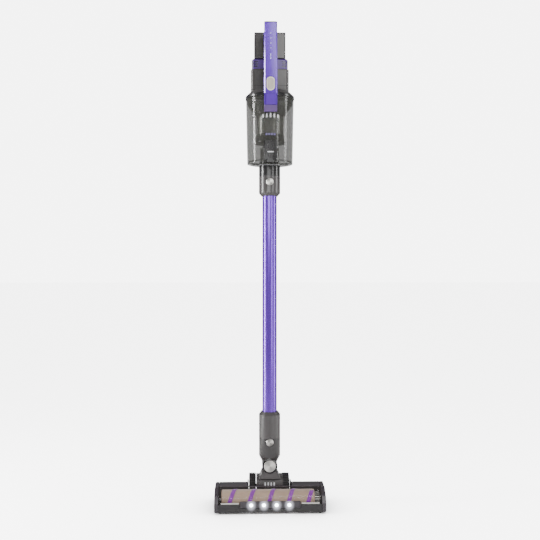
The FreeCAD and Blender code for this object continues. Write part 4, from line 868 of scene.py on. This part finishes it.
class VACUUM_OT_neck(bpy.types.Operator):
    """Builds the neck block, the pivot disc and the plain mark on the block"""
    bl_idname = "vacuum.neck"
    bl_label = "Neck"

    def execute(self, context):
        dressed("neck_yoke", "neck", material("shell"), 0.0008, 3)
        polish("pivot_stubs", material("steel"))
        self.disc()
        self.mark()
        self.wings()
        return {"FINISHED"}

    def wings(self):
        """Thin cheeks that run back from the block between the ears and the wheels."""
        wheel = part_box("wheel_tyre_right")[0]
        outer = wheel.x - CHEEK_GAP
        bm = bmesh.new()
        for side in (-1, 1):
            left, right = sorted((side * (outer - WING_WALL), side * outer))
            add_slab(bm, (left, WAND_Y + 0.018, WING_LOW), (right, wheel.y + 0.020, WING_HIGH))
        finish_mesh("neck_wings", bm, "neck", material("dark"), edge=0.0008, segments=3)

    def disc(self):
        """Turned disc on the pivot, with a dark rim round it."""
        low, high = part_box("pivot_disc")
        centre = (low + high) / 2
        radius = (high.z - low.z) / 2
        depth = high.y - low.y
        face = [(0.0, 0.0), (0.0, depth - 0.0003), (radius * 0.35, depth - 0.0001), (radius * 0.8, depth),
                (radius - 0.0009, depth - 0.0001), (radius, depth - 0.001), (radius, 0.0)]
        bm = lathe(face, steps=96)
        lay_on(bm, "y", (centre.x, high.y, centre.z))
        look = turned_silver("spun_silver", finish().silver, tuple(centre))
        finish_mesh("pivot_cap", bm, "neck", look, ("pivot_disc",))
        rim = [(radius + 0.0003, 0.0), (radius + 0.0003, depth * 0.75), (radius + 0.0012, depth),
               (radius + 0.0030, depth * 0.7), (radius + 0.0037, 0.0)]
        ring = lathe(rim, steps=96)
        lay_on(ring, "y", (centre.x, high.y, centre.z))
        finish_mesh("pivot_rim", ring, "neck", material("gloss"))

    def mark(self):
        """Row of four upright bars on the block's front."""
        places = [((i - 1.5) * 0.007, 0.0) for i in range(4)]
        bm = pill_row(places, 0.0032, 0.0085, WAND_Y - NECK_BLOCK, 0.0535, PROUD)
        finish_mesh("neck_mark", bm, "neck", material("mark"))


class VACUUM_OT_elbow(bpy.types.Operator):
    """Builds the lower collar and its round silver button"""
    bl_idname = "vacuum.elbow"
    bl_label = "Elbow"

    def execute(self, context):
        dressed("elbow_shell", "elbow", material("elbow"), 0.0005)
        collar_button("lower_release_button", "elbow_button")
        button_ring("lower_button_ring", "lower_release_button", "elbow")
        return {"FINISHED"}


class VACUUM_OT_wand(bpy.types.Operator):
    """Builds the purple tube, the upper collar and its button"""
    bl_idname = "vacuum.wand"
    bl_label = "Wand"

    def execute(self, context):
        low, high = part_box("wand_tube")
        radius = (high.x - low.x) / 2
        inner = radius - 0.0014
        bm = lathe([(inner, low.z), (radius, low.z), (radius, high.z), (inner, high.z)], (0, WAND_Y), 128)
        finish_mesh("wand_skin", bm, "wand", material("wand"), ("wand_tube",), 0.0003)
        dressed("wand_collar", "wand", material("shell"), 0.0005)
        collar_button("upper_release_button", "wand_button")
        button_ring("upper_button_ring", "upper_release_button", "wand")
        self.seams()
        return {"FINISHED"}

    def seams(self):
        """Fine dark joint lines where the collars meet their neighbours."""
        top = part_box("wand_collar")[1].z
        ring = lathe([(0.0236, top - 0.0002), (0.02485, top - 0.0002), (0.02485, top + 0.0005),
                      (0.0236, top + 0.0005)], (0, WAND_Y), 96)
        finish_mesh("collar_seam", ring, "wand", material("gloss"))


class VACUUM_OT_cup(bpy.types.Operator):
    """Builds the clear bin with its rim, door, latch, nozzle and cyclone"""
    bl_idname = "vacuum.cup"
    bl_label = "Dust cup"

    def execute(self, context):
        dressed("cup_wall", "dust_cup", material("smoke"), 0.0003)
        dressed("cup_rim", "dust_cup", material("gloss"), 0.0008)
        dressed("cup_door", "bin_door", material("smoke"), 0.0005)
        dressed("door_latch", "bin_latch", material("gloss"), 0.0006, 3)
        dressed("port_nozzle", "dust_cup", material("gloss"), 0.0006)
        dressed("inlet_duct", "dust_cup", material("dark"))
        dressed("cyclone_cone", "dust_cup", material("funnel"), 0.0004)
        dressed("cyclone_skirt", "dust_cup", material("funnel"), 0.0004)
        for node, kind in (("door_seal", "rubber"), ("cup_pins", "steel"), ("pre_filter", "filter")):
            polish(node, material(kind))
        centre = middle("mesh_shroud")
        look = pierced("pierced_sleeve", linear(168, 168, 162), 0.0016, (centre.x, centre.y, 0.0))
        polish("mesh_shroud", look)
        self.rings()
        self.marks()
        self.latch_detail()
        return {"FINISHED"}

    def rings(self):
        """Moulded bands round the top and the foot of the pierced sleeve."""
        centre = middle("cyclone_cone")
        bottom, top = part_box("mesh_shroud")
        radius = (top.x - bottom.x) / 2
        bm = bmesh.new()
        for z in (bottom.z + 0.001, top.z - 0.003):
            merge(bm, lathe([(radius - 0.0004, z), (radius + 0.0008, z), (radius + 0.0008, z + 0.002),
                             (radius - 0.0004, z + 0.002)], (centre.x, centre.y), 96))
        finish_mesh("shroud_bands", bm, "dust_cup", material("funnel"), edge=0.0003)

    def marks(self):
        """Plain printed marks on the bin's front: a row of bars, and four small blocks under it."""
        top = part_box("cup_wall")[1].z
        centre_y = middle("mesh_shroud").y
        bars = bmesh.new()
        for i in range(5):
            tall = 0.010 - 0.0016 * abs(i - 2)
            x = (i - 2) * 0.0085
            add_slab(bars, (x - 0.0016, 0, top - 0.0505), (x + 0.0016, 0.0004, top - 0.0505 + tall))
        self.wrap(bars, centre_y, 0.05445)
        finish_mesh("bin_bars", bars, "dust_cup", material("mark"))
        dots = bmesh.new()
        for i in range(4):
            x = (i - 1.5) * 0.006
            add_slab(dots, (x - 0.0019, 0, top - 0.0900), (x + 0.0019, 0.0004, top - 0.0855))
        self.wrap(dots, centre_y, 0.05350)
        finish_mesh("bin_dots", dots, "dust_cup", material("violet_mark"))

    def wrap(self, bm, centre_y, radius):
        """Bends flat marks round the bin's wall, which has this radius at their height."""
        for vert in bm.verts:
            out = radius - vert.co.y
            angle = vert.co.x / radius
            vert.co.x, vert.co.y = out * math.sin(angle), centre_y - out * math.cos(angle)

    def latch_detail(self):
        """Grip ribs, a raised thumb oval and a plain bar on the latch."""
        low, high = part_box("door_latch")
        front = low.y
        bm = bmesh.new()
        for i in range(3):
            x = (i - 1) * 0.0042
            add_slab(bm, (x - 0.0008, front - 0.0005, low.z + 0.008),
                     (x + 0.0008, front + 0.0015, low.z + 0.016))
        finish_mesh("latch_ribs", bm, "bin_latch", material("dark"), edge=0.0003)
        bar = pill_row([(0.0, 0.0)], 0.015, 0.0024, front, low.z + 0.0225, PROUD)
        finish_mesh("latch_bar", bar, "bin_latch", material("mark"))
        ring = lathe([(0.0052, 0.0), (0.0056, 0.0006), (0.0064, 0.0006), (0.0068, 0.0)], steps=48)
        bmesh.ops.scale(ring, vec=(1.0, 1.35, 1.0), verts=ring.verts)
        lay_on(ring, "y", (0.0, front + 0.0002, high.z - 0.012))
        finish_mesh("latch_oval", ring, "bin_latch", material("dark"))


class VACUUM_OT_power(bpy.types.Operator):
    """Builds the shoulder, the housing, the vent band and what is inside them"""
    bl_idname = "vacuum.power"
    bl_label = "Power unit"

    def execute(self, context):
        dressed("shoulder", "power_unit", material("shell"), 0.0008, 3)
        dressed("body_shell", "power_unit", material("shell"), 0.0015, 3)
        dressed("vent_ring", "power_unit", material("band"), 0.0005)
        dressed("battery_dock", "power_unit", material("shell"), 0.0008, 3)
        for node, kind in (("exhaust_filter", "filter"), ("suction_motor", "can"), ("impeller", "dark"),
                           ("control_board", "board")):
            polish(node, material(kind))
        self.seam()
        self.vents()
        self.dock_rim()
        return {"FINISHED"}

    def vents(self):
        """Dark louvres that wrap the band's front corners."""
        low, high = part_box("vent_ring")
        bm = bmesh.new()
        for i in range(4):
            loop = rounded_loop(low, high, 0.008, low.z + 0.0055 + i * 0.0036, 0.0017, 0.00012)
            cuts = (((VENT_GAP_HALF, 0, 0), (1, 0, 0)), ((-VENT_GAP_HALF, 0, 0), (1, 0, 0)),
                    ((0, low.y + VENT_WRAP, 0), (0, 1, 0)))
            for place, across in cuts:
                bmesh.ops.bisect_plane(loop, geom=list(loop.verts) + list(loop.edges) + list(loop.faces),
                                       dist=MERGE, plane_co=place, plane_no=across)
            spare = [f for f in loop.faces if abs(f.calc_center_median().x) < VENT_GAP_HALF
                     or f.calc_center_median().y > low.y + VENT_WRAP]
            bmesh.ops.delete(loop, geom=spare, context="FACES")
            merge(bm, loop)
        finish_mesh("vent_louvres", bm, "power_unit", material("gloss"))

    def dock_rim(self):
        """Dark border down both sides and across the top of the battery dock's front."""
        low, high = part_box("battery_dock")
        wide = 0.0013
        front, back = low.y - 0.00015, low.y + 0.0004
        inset = 0.0011
        x, z0, z1 = high.x - inset, low.z + inset, high.z - inset
        bm = bmesh.new()
        add_slab(bm, (-x, front, z0), (-x + wide, back, z1))
        add_slab(bm, (x - wide, front, z0), (x, back, z1))
        add_slab(bm, (-x + wide, front, z1 - wide), (x - wide, back, z1))
        finish_mesh("dock_border", bm, "power_unit", material("dark"))

    def seam(self):
        """Joint line round the housing's lower part."""
        low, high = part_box("body_shell")
        bm = rounded_loop(low, high, 0.009, low.z + 0.0175, 0.0007, 0.00012)
        finish_mesh("housing_seam", bm, "power_unit", material("gloss"))


class VACUUM_OT_battery(bpy.types.Operator):
    """Builds the battery pack, its release and its charging socket"""
    bl_idname = "vacuum.battery"
    bl_label = "Battery"

    def execute(self, context):
        dressed("battery_case", "battery", material("shell"), 0.0010, 3)
        dressed("battery_latch", "battery_release", material("gloss"), 0.0008, 3)
        dressed("charge_socket", "battery", material("gloss"), 0.0003)
        polish("battery_cells", material("cell"))
        low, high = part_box("battery_latch")
        bm = bmesh.new()
        for i in range(4):
            z = low.z + 0.0024 + i * 0.0024
            add_slab(bm, (low.x + 0.002, high.y - 0.0004, z - 0.0005),
                     (high.x - 0.002, high.y + 0.0003, z + 0.0005))
        finish_mesh("latch_grip", bm, "battery_release", material("dark"), edge=0.0002)
        return {"FINISHED"}


class VACUUM_OT_handle(bpy.types.Operator):
    """Builds the loop handle with its buttons, the painted highlight on its top edge and status lamps"""
    bl_idname = "vacuum.handle"
    bl_label = "Handle"

    def execute(self, context):
        dressed("handle_core", "power_unit", material("dark"), 0.0010, 3)
        dressed("handle_front", "power_unit", material("lacquer"), 0.0007, 3)
        dressed("handle_tip", "power_unit", material("dull"), 0.0006, 3)
        dressed("cup_release_button", "cup_release", material("lacquer"), 0.0008, 3)
        self.power_button()
        self.top_edge_highlight()
        self.lamps()
        return {"FINISHED"}

    def power_button(self):
        """Champagne pill with a pale raised rim."""
        low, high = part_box("power_button")
        finish_mesh("power_rim", pill(low, high, 0.0, 0.0003), "trigger", material("cream"),
                    ("power_button",), 0.0006)
        finish_mesh("power_face", pill(low, high, 0.0021, 0.0001), "trigger",
                    material("champagne"), (), 0.0010)

    def top_edge_highlight(self):
        """Pale strip that caps the front shell, a painted highlight of its top edge."""
        low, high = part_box("handle_front")
        z = high.z
        # painted highlight: a pale strip along the front shell's top edge
        bm = slab((low.x, low.y, z - 0.0022), (high.x, high.y, z))
        front = [e for e in bm.edges if abs((e.verts[0].co - e.verts[1].co).normalized().z) > 0.99
                 and e.verts[0].co.y < low.y + 0.001]
        bmesh.ops.bevel(bm, geom=front, offset=0.0025, offset_type="OFFSET", segments=1, profile=0.5,
                        affect="EDGES", material=-1)
        finish_mesh("handle_top_highlight", bm, "power_unit", material("cream"))

    def lamps(self):
        """Column of four small status lamps and a short line under them."""
        low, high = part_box("handle_front")
        bm = bmesh.new()
        for i in range(4):
            add_stud(bm, 0.0016, (0.0, low.y + 0.0001, high.z - 0.026 - i * 0.011), 0.0002)
        finish_mesh("status_lamps", bm, "power_unit", material("status"))
        line = pill_row([(0.0, 0.0)], 0.0016, 0.012, low.y + 0.0001, high.z - 0.078, 0.0001)
        finish_mesh("status_line", line, "power_unit", material("status"))


# ---- the stage ------------------------------------------------------------------------------------
def area(name, place, target, width, height, power):
    """Soft box that faces its target."""
    data = bpy.data.lights.new(name, "AREA")
    data.shape = "RECTANGLE"
    data.size, data.size_y, data.energy = width, height, power
    lamp = bpy.data.objects.new(name, data)
    bpy.context.scene.collection.objects.link(lamp)
    lamp.location = place
    aim = Vector(target) - Vector(place)
    lamp.rotation_euler = aim.to_track_quat("-Z", "Y").to_euler()


def beam(name, place, power):
    """Small spot that shines forward and down."""
    data = bpy.data.lights.new(name, "SPOT")
    data.energy = power
    data.spot_size = math.radians(70)
    data.spot_blend = 0.5
    data.shadow_soft_size = 0.003
    lamp = bpy.data.objects.new(name, data)
    bpy.context.scene.collection.objects.link(lamp)
    lamp.location = place
    lamp.rotation_euler = Vector((0, 0.75, -1)).to_track_quat("-Z", "Y").to_euler()


class VACUUM_OT_stage(bpy.types.Operator):
    """Lays the pale floor, hangs the soft lights and sets the camera"""
    bl_idname = "vacuum.stage"
    bl_label = "Stage"

    def execute(self, context):
        self.floor()
        self.world()
        self.lights()
        self.camera()
        return {"FINISHED"}

    def floor(self):
        """Pale ground that glows to the camera, with a painted shadow that dims the glow close round what
        stands on it.
        """
        bm = bmesh.new()
        bmesh.ops.create_grid(bm, x_segments=1, y_segments=1, size=FLOOR_HALF)
        mesh = bpy.data.meshes.new("floor")
        bm.to_mesh(mesh)
        bm.free()
        ground = bpy.data.objects.new("floor", mesh)
        bpy.context.scene.collection.objects.link(ground)
        look = Finish("pale_floor", IOR=1.3, Emission_Strength=FLOOR_GLOW)
        soft = look.noise(3.0, 2.0)
        look.feed(Base_Color=look.blend(soft, (0.93, 0.93, 0.93, 1), (0.96, 0.96, 0.96, 1)))
        look.feed(Roughness=0.55 + 0.1 * soft)
        # painted shadow: occlusion dims the floor's glow near the vacuum
        open_air = look.add("ShaderNodeAmbientOcclusion", None, {"Distance": CONTACT_SHADE}, out="AO")
        seen = look.add("ShaderNodeLightPath", out="Is Camera Ray")
        look.feed(Emission_Color=look.blend(seen * open_air * open_air, (0, 0, 0, 1), (1, 1, 1, 1)))
        mesh.materials.append(look.material)

    def world(self):
        """White room with a bright backdrop, dimmed as painted shade where clear plastic stands before it."""
        world = bpy.data.worlds.new("studio")
        bpy.context.scene.world = world
        world.use_nodes = True
        sky = world.node_tree.nodes["Background"]
        sky.inputs["Color"].default_value = (1.0, 1.0, 1.0, 1.0)
        look = Graph(world.node_tree)
        seen = look.add("ShaderNodeLightPath", out="Is Camera Ray")
        # painted shade: the backdrop darkens behind clear plastic
        behind = look.add("ShaderNodeLightPath", out="Transparent Depth") > 0.5
        backdrop = BACKDROP_GLOW - behind * (BACKDROP_GLOW - BEHIND_GLOW)
        look.plug(sky.inputs["Strength"], AMBIENT + seen * backdrop)

    def lights(self):
        """Soft boxes round the vacuum, and a small beam from each of its lamps."""
        for box in SOFT_BOXES:
            area(*box)
        for i, lamp in enumerate(lamp_row()[2]):
            beam(f"beam_{i}", lamp + Vector((0.0, -0.012, 0.004)), BEAM_POWER)

    def camera(self):
        """Camera in front of the wand, at about half the vacuum's height."""
        setup = sizes()
        data = bpy.data.cameras.new("camera")
        camera = bpy.data.objects.new("camera", data)
        bpy.context.scene.collection.objects.link(camera)
        data.lens = LENS_MM
        data.sensor_width = SENSOR_MM
        camera.location = (CAMERA_ASIDE, WAND_Y - setup.camera_distance, setup.camera_height)
        turn = math.atan2(-CAMERA_ASIDE, setup.camera_distance) + CAMERA_TRIM
        camera.rotation_euler = (QUARTER, 0.0, -turn)
        bpy.context.scene.camera = camera


BUILDERS = (VACUUM_OT_stage, VACUUM_OT_head, VACUUM_OT_roller, VACUUM_OT_wheels, VACUUM_OT_neck,
            VACUUM_OT_elbow, VACUUM_OT_wand, VACUUM_OT_cup, VACUUM_OT_power, VACUUM_OT_battery,
            VACUUM_OT_handle)


class VACUUM_PT_panel(bpy.types.Panel):
    """Lists the vacuum's sizes, finishes and builders"""
    bl_label = "Cordless stick vacuum"
    bl_idname = "VACUUM_PT_panel"
    bl_space_type = "VIEW_3D"
    bl_region_type = "UI"
    bl_category = "Vacuum"

    def draw(self, context):
        for group in (context.scene.vacuum_sizes, context.scene.vacuum_finish):
            for key in group.__annotations__:
                self.layout.prop(group, key)
        for builder in BUILDERS:
            self.layout.operator(builder.bl_idname)


CLASSES = (VacuumFinish, VacuumSizes) + BUILDERS + (VACUUM_PT_panel,)


def register():
    for cls in CLASSES:
        bpy.utils.register_class(cls)
    bpy.types.Scene.vacuum_finish = PointerProperty(type=VacuumFinish)
    bpy.types.Scene.vacuum_sizes = PointerProperty(type=VacuumSizes)


def unregister():
    del bpy.types.Scene.vacuum_sizes
    del bpy.types.Scene.vacuum_finish
    for cls in reversed(CLASSES):
        bpy.utils.unregister_class(cls)


def main():
    register()
    for builder in BUILDERS:
        group, name = builder.bl_idname.split(".")
        getattr(getattr(bpy.ops, group), name)()


if __name__ == "__main__":
    main()
